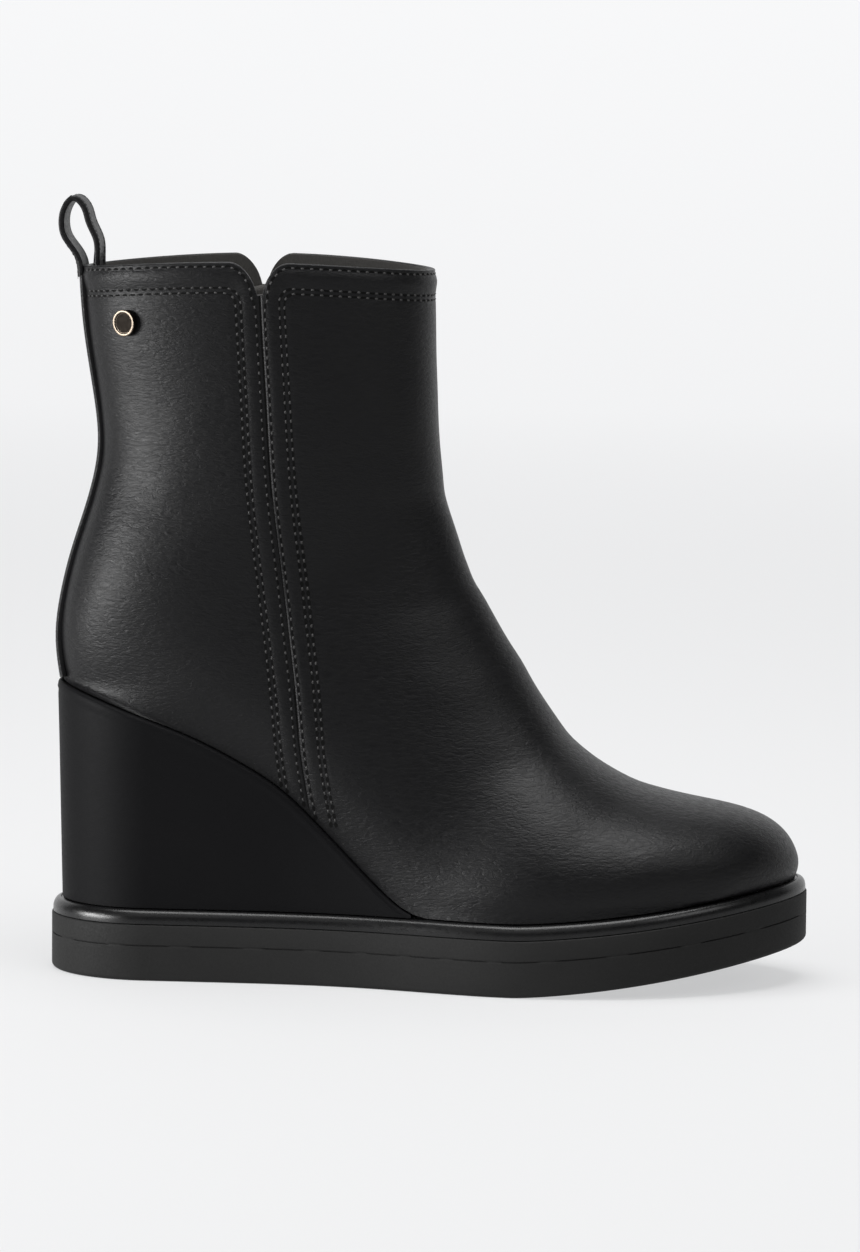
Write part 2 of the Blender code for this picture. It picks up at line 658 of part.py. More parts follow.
def upper_face(spots, inward):
    """Points of the outer face of the upper, or of the inner face at a distance inside it."""
    rows = []
    for numbers, turns, sides, groove in spots:
        row = []
        for side in (LATERAL, MEDIAL):
            own = sides == side
            points = skin(numbers[own], turns[own], side, inward)
            if not inward:
                points = points - skin_normal(numbers[own], turns[own], side) * groove[own][:, None]
            row.extend(points)
        rows.append(row)
    return rows


def row_grid(rows, closed):
    """Points and faces of rows of equal length, where a closed row's last point is its first."""
    width = len(rows[0])
    points = [p for row in rows for p in row]
    faces = []
    for r in range(len(rows) - 1):
        for c in range(width - 1):
            corners = [(r, c), (r, c + 1), (r + 1, c + 1), (r + 1, c)]
            face = []
            for row, col in corners:
                index = row * width + (0 if closed[row] and col == width - 1 else col)
                if index not in face:
                    face.append(index)
            faces.append(tuple(face))
    return points, faces


def solidify(obj, thickness, offset):
    """Gives an open surface a wall; offset -1 grows it inwards and 1 outwards."""
    wall = obj.modifiers.new("wall", "SOLIDIFY")
    wall.thickness = thickness
    wall.offset = offset
    wall.use_even_offset = True
    wall.use_quality_normals = True


def surface_mesh(name, rows, closed, outward):
    """A mesh of an open surface whose faces point the way of outward, a point far outside it."""
    points, faces = row_grid(rows, closed)
    mesh = bpy.data.meshes.new(name)
    mesh.from_pydata([tuple(map(float, p)) for p in points], [], faces)
    work = bmesh.new()
    work.from_mesh(mesh)
    loose = [v for v in work.verts if not v.link_faces]
    bmesh.ops.delete(work, geom=loose, context="VERTS")
    bmesh.ops.recalc_face_normals(work, faces=work.faces)
    work.faces.ensure_lookup_table()
    face = min(work.faces, key=lambda f: (f.calc_center_median() - outward).length)
    if face.normal.dot(outward - face.calc_center_median()) < 0:
        bmesh.ops.reverse_faces(work, faces=work.faces)
    work.to_mesh(mesh)
    work.free()
    mesh.shade_smooth()
    return mesh


def upper(collection, finish):
    """The upper: one hollow wall, open at the collar and along the seat."""
    toe = list(np.linspace(0, HEEL_SECTION - 6, 11))
    arch = list(np.linspace(HEEL_SECTION - 6, HEEL_SECTION - 1, 12)[1:])
    heel = [HEEL_SECTION - 0.6, HEEL_SECTION - 0.3, HEEL_SECTION - 0.1, HEEL_SECTION]
    shaft = list(np.linspace(HEEL_SECTION, LEVEL_SECTION, 10)[1:])
    spots, closed = upper_spots(toe + arch + heel + shaft, 6, 5, COLLAR_ROWS)
    points, faces = row_grid(upper_face(spots, 0.0), closed)
    inner = row_grid(upper_face(spots, UPPER_WALL), closed)[0]
    count = len(points)
    uses = {}
    for face in faces:
        for a, b in zip(face, face[1:] + face[:1]):
            uses.setdefault((min(a, b), max(a, b)), []).append((a, b))
    rims = [(b, a, a + count, b + count) for (a, b), *others in uses.values() if not others]
    lining = [tuple(i + count for i in reversed(face)) for face in faces]
    mesh = mesh_of("upper", points + inner, faces + lining + rims)
    return new_object("upper", mesh, collection, finish)


def backstay(collection, finish):
    """The narrow strap over the back seam, from under the pull loop to the wedge."""
    top = section_at_height(COLLAR_HEIGHT - 2.5 * LOOP_STRAP_THICKNESS)
    numbers = np.linspace(HEEL_SECTION + 0.12, top, 20)
    across = np.linspace(-1, 1, 7) * BACKSTAY_WIDTH / 2
    rows = []
    for number in numbers:
        row = []
        for y in across:
            side = LATERAL if y < 0 else MEDIAL
            inset = feather_inset(rear_point(number)[0])
            full = SIDE_WIDTH[side](rear_point(number)[0]) - inset + UPPER_SWELL * CURVE["swell"](number)
            turn = math.pi - np.arcsin((abs(y) / full) ** (CURVE["close"](number) / 2))
            point, normal = skin(number, turn, side), skin_normal(number, turn, side)
            row.append(point + normal * CLEARANCE)
        rows.append(row)
    mesh = surface_mesh("backstay", rows, [False] * len(rows), Vector((-1.0, 0.0, 0.15)))
    obj = new_object("backstay", mesh, collection, finish)
    solidify(obj, BACKSTAY_THICKNESS, 1)
    return obj


def loop_path():
    """Middle line of the pull loop in the XZ plane, from outside the collar, over it and down inside."""
    number = section_at_height(COLLAR_HEIGHT)
    wall_out = float(rear_point(number)[0])
    outer_leg = wall_out - CLEARANCE - LOOP_STRAP_THICKNESS / 2
    inner_leg = wall_out + UPPER_WALL + 4 * CLEARANCE + LOOP_STRAP_THICKNESS / 2
    rim = float(collar_z(wall_out, LATERAL)) + CLEARANCE
    middle_x = inner_leg - LOOP_WIDTH / 2 - LOOP_STRAP_THICKNESS / 2 - LOOP_LEAN / 3
    crown_z = rim + LOOP_HEIGHT - LOOP_STRAP_THICKNESS / 2
    outer = LOOP_WIDTH / 2 + 0.1 * LOOP_LEAN
    guides = [
        (outer_leg + 0.0002, rim - 2.1 * LOOP_STRAP_THICKNESS),
        (outer_leg, rim - 0.4 * LOOP_STRAP_THICKNESS),
        (outer_leg - 0.35 * LOOP_LEAN, rim + 0.16 * LOOP_HEIGHT),
        (middle_x - 0.84 * outer, rim + 0.42 * LOOP_HEIGHT),
        (middle_x - 1.00 * outer, rim + 0.66 * LOOP_HEIGHT),
        (middle_x - 0.80 * outer, crown_z - 0.14 * LOOP_HEIGHT),
        (middle_x - 0.15 * outer, crown_z),
        (middle_x + 0.55 * outer, crown_z - 0.11 * LOOP_HEIGHT),
        (middle_x + 0.94 * outer, rim + 0.62 * LOOP_HEIGHT),
        (inner_leg + 0.0003, rim + 0.36 * LOOP_HEIGHT),
        (inner_leg, rim + 0.10 * LOOP_HEIGHT),
        (inner_leg, rim - 0.3 * LOOP_TAIL),
        (inner_leg + 0.0006, rim - LOOP_TAIL),
    ]
    steps = np.hypot(*np.diff(np.array(guides), axis=0).T)
    lengths = np.concatenate([[0], np.cumsum(steps)])
    fine = np.linspace(0, lengths[-1], 40)
    return np.stack([natural_spline(lengths, [g[i] for g in guides])(fine) for i in (0, 1)], 1)


def pull_loop(collection, finish):
    """The strap that stands as a loop over the back of the collar."""
    across = np.linspace(-1, 1, 5) * LOOP_STRAP_WIDTH / 2
    rows = []
    for x, z in loop_path():
        curve = LOOP_CURVE * (1 - smooth_step(COLLAR_HEIGHT, COLLAR_HEIGHT + LOOP_HEIGHT / 2, z))
        rows.append([(x + (y / HEEL_WIDTH) ** 2 * curve, y, z) for y in across])
    mesh = surface_mesh("pull_loop", rows, [False] * len(rows), Vector((-1.0, 0.0, 0.3)))
    obj = new_object("pull_loop", mesh, collection, finish)
    solidify(obj, LOOP_STRAP_THICKNESS, 0)
    return obj


def side_gusset(name, side, collection, finish):
    """The strip behind the side seam, whose top shows at the bottom of the notch."""
    top = COLLAR_HEIGHT - NOTCH_DEPTH + COLLAR_ARCH
    rows = []
    for share in np.linspace(0, 1, 9):
        row = []
        for offset in np.linspace(-1, 1, 5) * GUSSET_WIDTH / 2:
            height = top + 0.25 * offset - share * GUSSET_LENGTH
            level = height > LEVEL_HEIGHTS[0]
            number = section_at_height(height) if level else shaft_section(height, side)
            length = CURVE["front_x"](number) - rear_point(number)[0]
            turn = turn_at_share(number, seam_share(number, side) - offset / length)
            normal = skin_normal(number, turn, side)
            inward = UPPER_WALL + CLEARANCE + SEAM_GROOVE_DEPTH
            row.append(skin(number, turn, side) - normal * inward)
        rows.append(row)
    mesh = surface_mesh(name, rows, [False] * len(rows), Vector((-0.05, side, 0.2)))
    obj = new_object(name, mesh, collection, finish)
    solidify(obj, GUSSET_THICKNESS, -1)
    return obj


def shaft_section(height, side):
    """Number of the section that crosses the side seam at a height."""
    numbers = np.linspace(HEEL_SECTION, LEVEL_SECTION, 80)
    shares = seam_share(numbers, side)
    front, rear = CURVE["front_z"](numbers), rear_point(numbers)[1]
    return float(np.interp(height, front + shares * (rear - front), numbers))


def stud(collection, finish):
    """The small round metal stud on the outer side, a raised rim round a shallow dish."""
    height = COLLAR_HEIGHT - STUD_BELOW_COLLAR
    number = section_at_height(height)
    length = CURVE["front_x"](number) - rear_point(number)[0]
    turn = turn_at_share(number, seam_share(number, LATERAL) + STUD_BEHIND_SEAM / length)
    normal = Vector(skin_normal(number, turn, LATERAL))
    seat = Vector(skin(number, turn, LATERAL)) + normal * CLEARANCE
    radius = STUD_DIAMETER / 2
    bevel = STUD_RIM / 2
    profile = [(0.0, STUD_HEIGHT - STUD_DISH), (radius - STUD_RIM - bevel / 2, STUD_HEIGHT - STUD_DISH)]
    for angle in (0, 40, 90, 140, 180):
        a = math.radians(angle)
        profile.append((radius - bevel - bevel * math.cos(a), STUD_HEIGHT - bevel + bevel * math.sin(a)))
    profile += [(radius, 0.0), (0.0, 0.0)]
    mesh = bpy.data.meshes.new("stud")
    mesh.from_pydata([(r, 0.0, z) for r, z in profile], [(i, i + 1) for i in range(len(profile) - 1)], [])
    obj = new_object("stud", mesh, collection, finish)
    turned = obj.modifiers.new("turned", "SCREW")
    turned.steps = turned.render_steps = 28
    turned.use_merge_vertices = True
    turned.merge_threshold = 1e-5
    obj.matrix_world = Matrix.Translation(seat) @ normal.to_track_quat("Z", "Y").to_matrix().to_4x4()
    return obj


def finish(name, colour, roughness, metallic=0.0):
    """A material with one colour."""
    material = bpy.data.materials.new(name)
    material.use_nodes = True
    shader = material.node_tree.nodes["Principled BSDF"]
    shader.inputs["Base Color"].default_value = (*colour, 1.0)
    shader.inputs["Roughness"].default_value = roughness
    shader.inputs["Metallic"].default_value = metallic
    material.diffuse_color = (*colour, 1.0)
    return material


def build_boot():
    """The whole boot, one named object for each piece."""
    for obj in list(bpy.data.objects):
        bpy.data.objects.remove(obj)
    boot = bpy.data.collections.new("wedge_ankle_boot")
    bpy.context.scene.collection.children.link(boot)
    leather = finish("black smooth leather", (0.014, 0.014, 0.015), 0.42)
    wrap = finish("black wrap leather", (0.013, 0.013, 0.014), 0.36)
    foam = finish("matt black sole", (0.022, 0.022, 0.022), 0.8)
    lining = finish("dark lining", (0.03, 0.028, 0.026), 0.8)
    metal = finish("dark polished metal", (0.42, 0.38, 0.34), 0.22, 1.0)
    outsole(boot, foam)
    platform(boot, wrap)
    wedge(boot, wrap)
    insole(boot, lining)
    upper(boot, leather)
    backstay(boot, leather)
    pull_loop(boot, leather)
    side_gusset("side_gusset_lateral", LATERAL, boot, lining)
    side_gusset("side_gusset_medial", MEDIAL, boot, lining)
    stud(boot, metal)


build_boot()
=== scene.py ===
"""A black wedge ankle boot dressed for a studio photograph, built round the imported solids.

The boot stands on its sole: +X runs to the toe, -Y is the outer side and +Z is up. Sizes are in metres.
"""

from __future__ import annotations

import json
import logging
import math
from dataclasses import dataclass, field
from enum import Enum
from typing import Callable, Optional, Sequence

import bmesh
import bpy
import numpy as np
from mathutils import Matrix, Vector
from mathutils.bvhtree import BVHTree

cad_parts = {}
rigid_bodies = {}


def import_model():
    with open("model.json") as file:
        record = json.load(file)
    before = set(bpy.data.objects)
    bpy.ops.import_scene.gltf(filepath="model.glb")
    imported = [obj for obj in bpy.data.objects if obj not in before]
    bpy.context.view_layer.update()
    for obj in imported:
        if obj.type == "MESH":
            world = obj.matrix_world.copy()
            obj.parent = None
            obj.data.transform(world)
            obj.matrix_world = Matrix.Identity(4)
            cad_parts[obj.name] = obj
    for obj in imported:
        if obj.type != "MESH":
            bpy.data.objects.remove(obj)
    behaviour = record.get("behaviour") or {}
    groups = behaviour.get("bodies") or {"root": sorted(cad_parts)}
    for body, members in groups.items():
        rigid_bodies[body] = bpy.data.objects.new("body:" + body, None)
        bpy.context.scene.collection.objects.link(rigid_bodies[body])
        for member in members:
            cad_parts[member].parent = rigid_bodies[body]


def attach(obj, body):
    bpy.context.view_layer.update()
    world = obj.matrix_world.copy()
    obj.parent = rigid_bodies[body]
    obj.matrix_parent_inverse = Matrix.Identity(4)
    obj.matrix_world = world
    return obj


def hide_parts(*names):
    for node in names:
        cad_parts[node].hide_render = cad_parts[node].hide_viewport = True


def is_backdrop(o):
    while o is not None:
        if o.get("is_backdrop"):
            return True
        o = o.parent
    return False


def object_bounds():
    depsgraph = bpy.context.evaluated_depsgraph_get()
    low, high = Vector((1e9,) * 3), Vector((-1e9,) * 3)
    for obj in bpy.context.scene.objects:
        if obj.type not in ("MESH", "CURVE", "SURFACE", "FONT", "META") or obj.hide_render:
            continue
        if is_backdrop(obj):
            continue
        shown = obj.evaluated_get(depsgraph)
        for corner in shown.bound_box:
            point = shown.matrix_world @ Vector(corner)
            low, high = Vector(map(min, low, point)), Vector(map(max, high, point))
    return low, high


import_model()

LOG = logging.getLogger("wedge_ankle_boot")
Array = np.ndarray
Curve = Callable[[Array], Array]


class Side(Enum):
    """The two sides of the boot, by the sign of Y."""

    LATERAL = -1.0
    MEDIAL = 1.0


class Slot(Enum):
    """The record's material slots."""

    SOLE = "sole"
    WRAP = "wrap"
    LINING = "lining"
    UPPER = "upper"
    METAL = "metal"


def natural_spline(knots: Sequence[float], values: Sequence[float]) -> Curve:
    """A smooth curve through values.

    Args:
        knots: rising positions of the values.
        values: what the curve passes through.

    Returns:
        A function of position.
    """
    at, through = np.asarray(knots, float), np.asarray(values, float)
    count = len(at)
    gaps = np.diff(at)
    matrix = np.eye(count)
    right = np.zeros(count)
    for i in range(1, count - 1):
        matrix[i, i - 1 : i + 2] = gaps[i - 1], 2 * (gaps[i - 1] + gaps[i]), gaps[i]
        slopes = np.diff(through[i - 1 : i + 2]) / gaps[i - 1 : i + 1]
        right[i] = 6 * (slopes[1] - slopes[0])
    bends = np.linalg.solve(matrix, right)

    def curve(where: Array) -> Array:
        """The curve's value at a position."""
        where = np.asarray(where, float)
        i = np.clip(np.searchsorted(at, where) - 1, 0, count - 2)
        gap = gaps[i]
        low, high = (at[i + 1] - where) / gap, (where - at[i]) / gap
        bend = ((low**3 - low) * bends[i] + (high**3 - high) * bends[i + 1]) * gap**2 / 6
        return low * through[i] + high * through[i + 1] + bend

    return curve


def smooth_step(low: float, high: float, at: Array) -> Array:
    """0 below low, 1 above high, and a smooth rise between them."""
    share = np.clip((np.asarray(at, float) - low) / (high - low), 0, 1)
    return share * share * (3 - 2 * share)


def rounding(distance: Array, length: float) -> Array:
    """Share of the full width at a distance from the tip of a rounded end."""
    return np.sqrt(1 - (1 - np.clip(distance / length, 0, 1)) ** 2)


def bump(distance: Array, width: float) -> Array:
    """1 at no distance, fading out over a width."""
    return np.exp(-((distance / width) ** 2))


def resample(points: Array, gap: float) -> Array:
    """Points at an even gap along a line.

    Args:
        points: the line's own points, one row each, and what else is known of each point.
        gap: the distance wanted between the new points.

    Returns:
        The new points, one row each.
    """
    steps = np.linalg.norm(np.diff(points[:, :3], axis=0), axis=1)
    lengths = np.concatenate([[0], np.cumsum(steps)])
    count = max(2, int(round(lengths[-1] / gap)))
    at = np.linspace(0, lengths[-1], count + 1)
    return np.stack([np.interp(at, lengths, points[:, i]) for i in range(points.shape[1])], 1)


def line_distance(points: Array, line: Array) -> Array:
    """Distance of each point in the plane from a line of points."""
    nearest = np.full(len(points), 1e9)
    for a, b in zip(line[:-1], line[1:]):
        run = b - a
        share = np.clip(((points - a) @ run) / max(float(run @ run), 1e-18), 0, 1)
        gap = points - a - share[:, None] * run
        nearest = np.minimum(nearest, np.einsum("ij,ij->i", gap, gap))
    return np.sqrt(nearest)


@dataclass
class BootForm:
    """The shape of the last and the sole, which every piece is cut from."""

    sole_length: float = 0.2374
    heel_width: float = 0.062
    ball_width: float = 0.089
    sole_thickness: float = 0.0176
    toe_spring: float = 0.0128
    toe_thinning: float = 0.0022
    heel_round: float = 0.033
    toe_round: float = 0.064
    toe_swing: float = 0.003
    platform_thickness: float = 0.0043
    wedge_height: float = 0.0692
    wedge_length: float = 0.118
    wedge_foot_inset: float = 0.0033
    wedge_flare: float = 0.0015
    upper_wall: float = 0.002
    collar_height: float = 0.2207
    collar_arch: float = 0.003
    upper_swell: float = 0.0052
    wedge_lip: float = 0.0018
    feather_inset: float = 0.0033
    ridge_shift: float = 0.0025
    notch_depth: float = 0.0100
    notch_rear_width: float = 0.0078
    notch_front_width: float = 0.0084
    notch_floor: float = 0.0022
    notch_roundness: float = 1.7
    heel_closing_sharpness: float = 2.5
    medial_seam_shift: float = -0.0056
    clearance: float = 0.0003
    seat_gap: float = 0.0004
    outline: tuple[tuple[Optional[float], ...], ...] = (
        (0.000, 0.500, 0.000, 0.500, 0.000),
        (0.140, 0.510, 0.000, 0.494, 0.000),
        (0.250, 0.516, 0.000, 0.492, 0.000),
        (0.340, 0.300, 0.162, 0.300, 0.126),
        (0.440, 0.166, 0.300, 0.150, 0.236),
        (0.535, 0.000, 0.490, 0.000, 0.382),
        (0.610, 0.000, 0.538, 0.000, 0.428),
        (0.680, 0.000, 0.549, 0.000, 0.455),
        (0.760, 0.000, 0.540, 0.000, 0.456),
        (0.880, 0.000, 0.518, 0.000, 0.444),
        (1.000, 0.000, 0.472, 0.000, 0.427),
    )
    seat: tuple[tuple[Optional[float], ...], ...] = (
        (0.000, 1.000),
        (0.115, 0.945),
        (0.258, 0.861),
        (0.394, 0.772),
        (0.529, 0.655),
        (0.630, 0.543),
        (0.698, 0.438),
        (0.767, 0.322),
        (0.836, 0.204),
        (0.904, 0.096),
        (0.958, 0.030),
        (1.000, 0.004),
        (1.060, 0.000),
    )
    sections: tuple[tuple[Optional[float], ...], ...] = (
        (0.9853, 0.0025, 0.886, None, 0.03, 0.86, 2.00, 2.6, 1.00, 1.00, 0.0),
        (0.9886, 0.0200, 0.870, None, 0.10, 0.84, 2.00, 2.6, 1.00, 0.90, 0.0),
        (0.9852, 0.0440, 0.857, None, 0.18, 0.82, 2.05, 2.6, 1.00, 0.72, 0.0),
        (0.9705, 0.0770, 0.840, None, 0.24, 0.80, 2.15, 2.6, 1.00, 0.50, 0.0),
        (0.9400, 0.1090, 0.819, None, 0.28, 0.78, 2.20, 2.6, 1.00, 0.28, 0.1),
        (0.8929, 0.1345, 0.790, None, 0.31, 0.77, 2.20, 2.6, 1.00, 0.10, 0.2),
        (0.8340, 0.1568, 0.744, None, 0.33, 0.76, 2.18, 2.6, 1.00, 0.00, 0.4),
        (0.7773, 0.1842, 0.681, None, 0.35, 0.76, 2.12, 2.6, 1.00, 0.00, 0.6),
        (0.7206, 0.2255, 0.609, None, 0.38, 0.76, 2.06, 2.6, 1.00, 0.00, 0.8),
        (0.6765, 0.2800, 0.534, None, 0.44, 0.76, 2.00, 2.5, 1.00, 0.00, 1.0),
        (0.6408, 0.3420, 0.450, None, 0.56, 0.75, 1.96, 2.4, 1.05, 0.00, 1.0),
        (0.6092, 0.4030, 0.361, None, 0.72, 0.74, 1.95, 2.3, 1.02, 0.00, 1.0),
        (0.5798, 0.4640, 0.265, None, 0.82, 0.72, 1.95, 2.3, 1.04, 0.00, 0.9),
        (0.5559, 0.5170, 0.155, None, 0.86, 0.68, 1.98, 2.3, 1.10, 0.00, 0.8),
        (0.5399, 0.5590, 0.067, None, 0.82, 0.64, 2.02, 2.3, 1.34, 0.00, 0.6),
        (0.5307, 0.5920, None, None, 0.78, 0.61, 2.06, 2.2, 1.96, 0.00, 0.5),
        (0.5218, 0.6300, 0.0101, 0.100, 0.88, 0.58, 2.10, 2.3, 2.20, 0.00, 0.4),
        (0.5164, 0.6650, 0.0158, 0.199, 0.97, 0.56, 2.12, 2.3, 2.20, 0.00, 0.3),
        (0.5130, 0.6980, 0.0296, 0.306, 0.98, 0.54, 2.14, 2.3, 2.20, 0.00, 0.2),
        (0.5105, 0.7285, 0.0483, 0.414, 0.92, 0.53, 2.16, 2.3, 2.20, 0.00, 0.1),
        (0.5088, 0.7590, 0.0622, 0.515, 0.89, 0.52, 2.18, 2.2, 2.20, 0.00, 0.0),
        (0.5076, 0.7920, 0.0651, 0.608, 0.88, 0.51, 2.20, 2.2, 2.20, 0.00, 0.0),
        (0.5063, 0.8300, 0.0580, 0.710, 0.90, 0.50, 2.20, 2.2, 2.20, 0.00, 0.0),
        (0.5050, None, 0.0500, 0.801, 0.93, 0.50, 2.20, 2.2, 2.20, 0.00, 0.0),
        (0.5038, None, 0.0432, 0.902, 0.97, 0.50, 2.20, 2.2, 2.20, 0.00, 0.0),
        (0.5013, None, 0.0385, 1.042, 1.00, 0.50, 2.20, 2.2, 2.20, 0.00, 0.0),
    )
    seam: tuple[tuple[Optional[float], ...], ...] = (
        (0.247, 0.355),
        (0.301, 0.346),
        (0.400, 0.337),
        (0.512, 0.324),
        (0.609, 0.313),
        (0.706, 0.303),
        (0.818, 0.296),
        (0.901, 0.291),
        (1.020, 0.285),
    )

    def __post_init__(self) -> None:
        """Works out the curves that the tables stand for."""
        self.heel_x, self.toe_x = -self.sole_length / 2, self.sole_length / 2
        self.heel_section = sum(1 for row in self.sections if row[3] is None) - 1
        self.level_section = 23
        self.last_section = len(self.sections) - 1
        stations = self.along(self.column(self.outline, 0))
        lateral = np.array(self.column(self.outline, 1)) * self.heel_width
        lateral = lateral + np.array(self.column(self.outline, 2)) * self.ball_width
        medial = np.array(self.column(self.outline, 3)) * self.heel_width
        medial = medial + np.array(self.column(self.outline, 4)) * self.ball_width
        self.side_width = {
            Side.LATERAL: natural_spline(stations, lateral),
            Side.MEDIAL: natural_spline(stations, medial),
        }
        self.wedge_back = self.heel_x + self.wedge_foot_inset - self.wedge_flare
        self.seat_rise = natural_spline(self.column(self.seat, 0), self.column(self.seat, 1))
        self.heel_tip = float(self.heel_x + self.feather_in(np.array(self.heel_x)))
        self.heel_seat = float(self.seat_height(np.array(self.heel_tip)) + self.seat_gap)
        self.curve = self.section_curves()
        self.seam_line = natural_spline(
            np.array(self.column(self.seam, 0)) * self.collar_height,
            self.along(self.column(self.seam, 1)),
        )
        self.levels = np.linspace(self.level_section, self.last_section, 60)
        self.level_heights = self.rear_point(self.levels)[1]
        self.rim_section = float(self.section_at_height(np.array(self.collar_height)))

    @staticmethod
    def column(table: Sequence[Sequence[float]], index: int) -> list[float]:
        """One column of a table."""
        return [row[index] for row in table]

    def along(self, share: Sequence[float]) -> Array:
        """X of a share of the sole's length from the heel."""
        return self.heel_x + np.asarray(share, float) * self.sole_length

    def half_width(self, x: Array, side: Side, inset: Array) -> Array:
        """Half width of the sole's outline moved inwards by an inset."""
        heel = rounding(x - (self.heel_x + inset), self.heel_round - inset)
        toe = rounding((self.toe_x - inset) - x, self.toe_round - inset)
        return (self.side_width[side](x) - inset) * heel * toe

    def centre(self, x: Array) -> Array:
        """Y of the middle of the outline, which swings inwards at the toe."""
        return self.toe_swing * smooth_step(float(self.along(0.6)), self.toe_x, x)

    def toe_rise(self, x: Array) -> Array:
        """Share of the toe spring at X."""
        start = float(self.along(0.626))
        return np.clip((np.asarray(x, float) - start) / (self.toe_x - start), 0, 1) ** 1.4

    def sole_bottom(self, x: Array) -> Array:
        """Z of the sole's underside."""
        return self.toe_spring * self.toe_rise(x)

    def sole_top(self, x: Array) -> Array:
        """Z of the sole's top."""
        return self.sole_thickness + (self.toe_spring - self.toe_thinning) * self.toe_rise(x)

    def platform_top(self, x: Array) -> Array:
        """Z of the platform's top."""
        return self.sole_top(x) + self.clearance + self.platform_thickness

    def wedge_rise(self, x: Array) -> Array:
        """Height of the wedge's top over the platform."""
        share = np.clip((np.asarray(x, float) - self.wedge_back) / self.wedge_length, 0, 1.06)
        return self.wedge_height * np.maximum(self.seat_rise(share), 0)

    def seat_height(self, x: Array) -> Array:
        """Z of the surface that the upper stands on."""
        return self.platform_top(x) + self.wedge_rise(x)

    def feather_in(self, x: Array) -> Array:
        """How far the upper's lower edge lies inside the sole's outline."""
        start = self.wedge_back + 0.85 * self.wedge_length
        forefoot = smooth_step(start, self.wedge_back + 1.2 * self.wedge_length, x)
        edge = self.wedge_foot_inset - self.wedge_flare * self.wedge_rise(x) / self.wedge_height
        return (1 - forefoot) * (edge + self.wedge_lip) + forefoot * self.feather_inset

    def section_curves(self) -> dict[str, Curve]:
        """Each column of the section table as a smooth function of the section number."""
        numbers = np.arange(len(self.sections), dtype=float)
        names = ("swell", "widest", "crown", "tuck", "close", "nose", "ridge")
        curves = {n: natural_spline(numbers, self.column(self.sections, 4 + i)) for i, n in enumerate(names)}
        front_x = self.along(self.column(self.sections, 0))
        rise = self.collar_height - self.heel_seat
        front_z = []
        for x, row in zip(front_x, self.sections):
            low = float(self.platform_top(x))
            level = row[1] is None
            front_z.append(
                self.heel_seat + row[3] * rise if level else low + row[1] * (self.collar_height - low)
            )
        curves["front_x"] = natural_spline(numbers, front_x)
        curves["front_z"] = natural_spline(numbers, front_z)
        heel = self.heel_section
        first, later = self.sections[:heel], self.sections[heel + 1 :]
        curves["seat_x"] = natural_spline(
            numbers[: heel + 1], [float(self.along(row[2])) for row in first] + [self.heel_tip]
        )
        curves["back_x"] = natural_spline(
            numbers[heel:], [self.heel_tip] + [float(self.along(row[2])) for row in later]
        )
        curves["back_z"] = natural_spline(
            numbers[heel:], [self.heel_seat] + [self.heel_seat + row[3] * rise for row in later]
        )
        return curves

    def shifted(
        self, name: str, number: Array, inward: float, low: float, high: float
    ) -> tuple[Array, Array]:
        """A profile's X and Z moved sideways to its run.

        Args:
            name: the profile, front or back.
            number: the section number.
            inward: the move, towards -X where the profile rises.
            low: the profile's first section.
            high: its last.

        Returns:
            X and Z.
        """
        before, after = np.maximum(number - 0.05, low), np.minimum(number + 0.05, high)
        run = self.curve[name + "_x"](after) - self.curve[name + "_x"](before)
        rise = self.curve[name + "_z"](after) - self.curve[name + "_z"](before)
        length = np.hypot(run, rise)
        x = self.curve[name + "_x"](number) - inward * rise / length
        return x, self.curve[name + "_z"](number) + inward * run / length

    def front_point(self, number: Array, inward: float = 0.0) -> tuple[Array, Array]:
        """X and Z of the front end of a section."""
        return self.shifted("front", number, inward, 0, self.last_section)

    def rear_point(self, number: Array, inward: float = 0.0) -> tuple[Array, Array]:
        """X and Z of the rear end of a section, on the seat up to the heel and then up the back."""
        heel = self.heel_section
        seat_x = self.curve["seat_x"](np.minimum(number, heel))
        seat_x = seat_x + inward * np.clip(1 - (seat_x - self.heel_tip) / self.heel_round, 0, 1)
        back_x, back_z = self.shifted("back", np.maximum(number, heel), -inward, heel, self.last_section)
        on_seat = number < heel
        x = np.where(on_seat, seat_x, back_x)
        return x, np.where(on_seat, self.seat_height(seat_x) + self.seat_gap, back_z)

    def skin(self, number: Array, turn: Array, side: Side, inward: float = 0.0) -> Array:
        """Points on the upper.

        Args:
            number: section number, from the toe to the collar.
            turn: angle round the section from the front line, 0, to the rear end, pi.
            side: the side of the boot.
            inward: distance inside the outer face.

        Returns:
            Points, the last axis being X, Y and Z.
        """
        number, turn = np.broadcast_arrays(np.asarray(number, float), np.asarray(turn, float))
        front_x, front_z = self.front_point(number, inward)
        rear_x, rear_z = self.rear_point(number, inward)
        widest = self.curve["widest"](number)
        crown, tuck, close = (self.curve[n](number) for n in ("crown", "tuck", "close"))
        nose = np.clip(self.curve["nose"](number), 0, 1)
        cosine, sine = np.cos(turn), np.sin(np.clip(turn, 0, math.pi))
        before = turn <= math.pi / 2
        rising = widest * (1 - np.clip(cosine, 0, 1) ** (2 / crown))
        falling = widest + (1 - widest) * np.clip(-cosine, 0, 1) ** (2 / tuck)
        share = np.where(before, rising, falling)
        x = front_x + share * (rear_x - front_x)
        z = front_z + share * (rear_z - front_z)
        inset = self.feather_in(rear_x) + inward
        swell = self.upper_swell * self.curve["swell"](number)
        toe = rounding((self.toe_x - inset) - rear_x, self.toe_round - inset)
        full = (self.side_width[side](rear_x) - inset) * toe + swell
        grown = np.where(before, sine ** (2 / crown), 1.0)
        nose_round = rounding(front_x - x, self.toe_round - inset)
        nose_width = (self.side_width[side](x) - inset + swell) * nose_round
        body = (1 - nose) * full * grown + nose * nose_width
        end_round = rounding(front_x - rear_x, self.toe_round - inset)
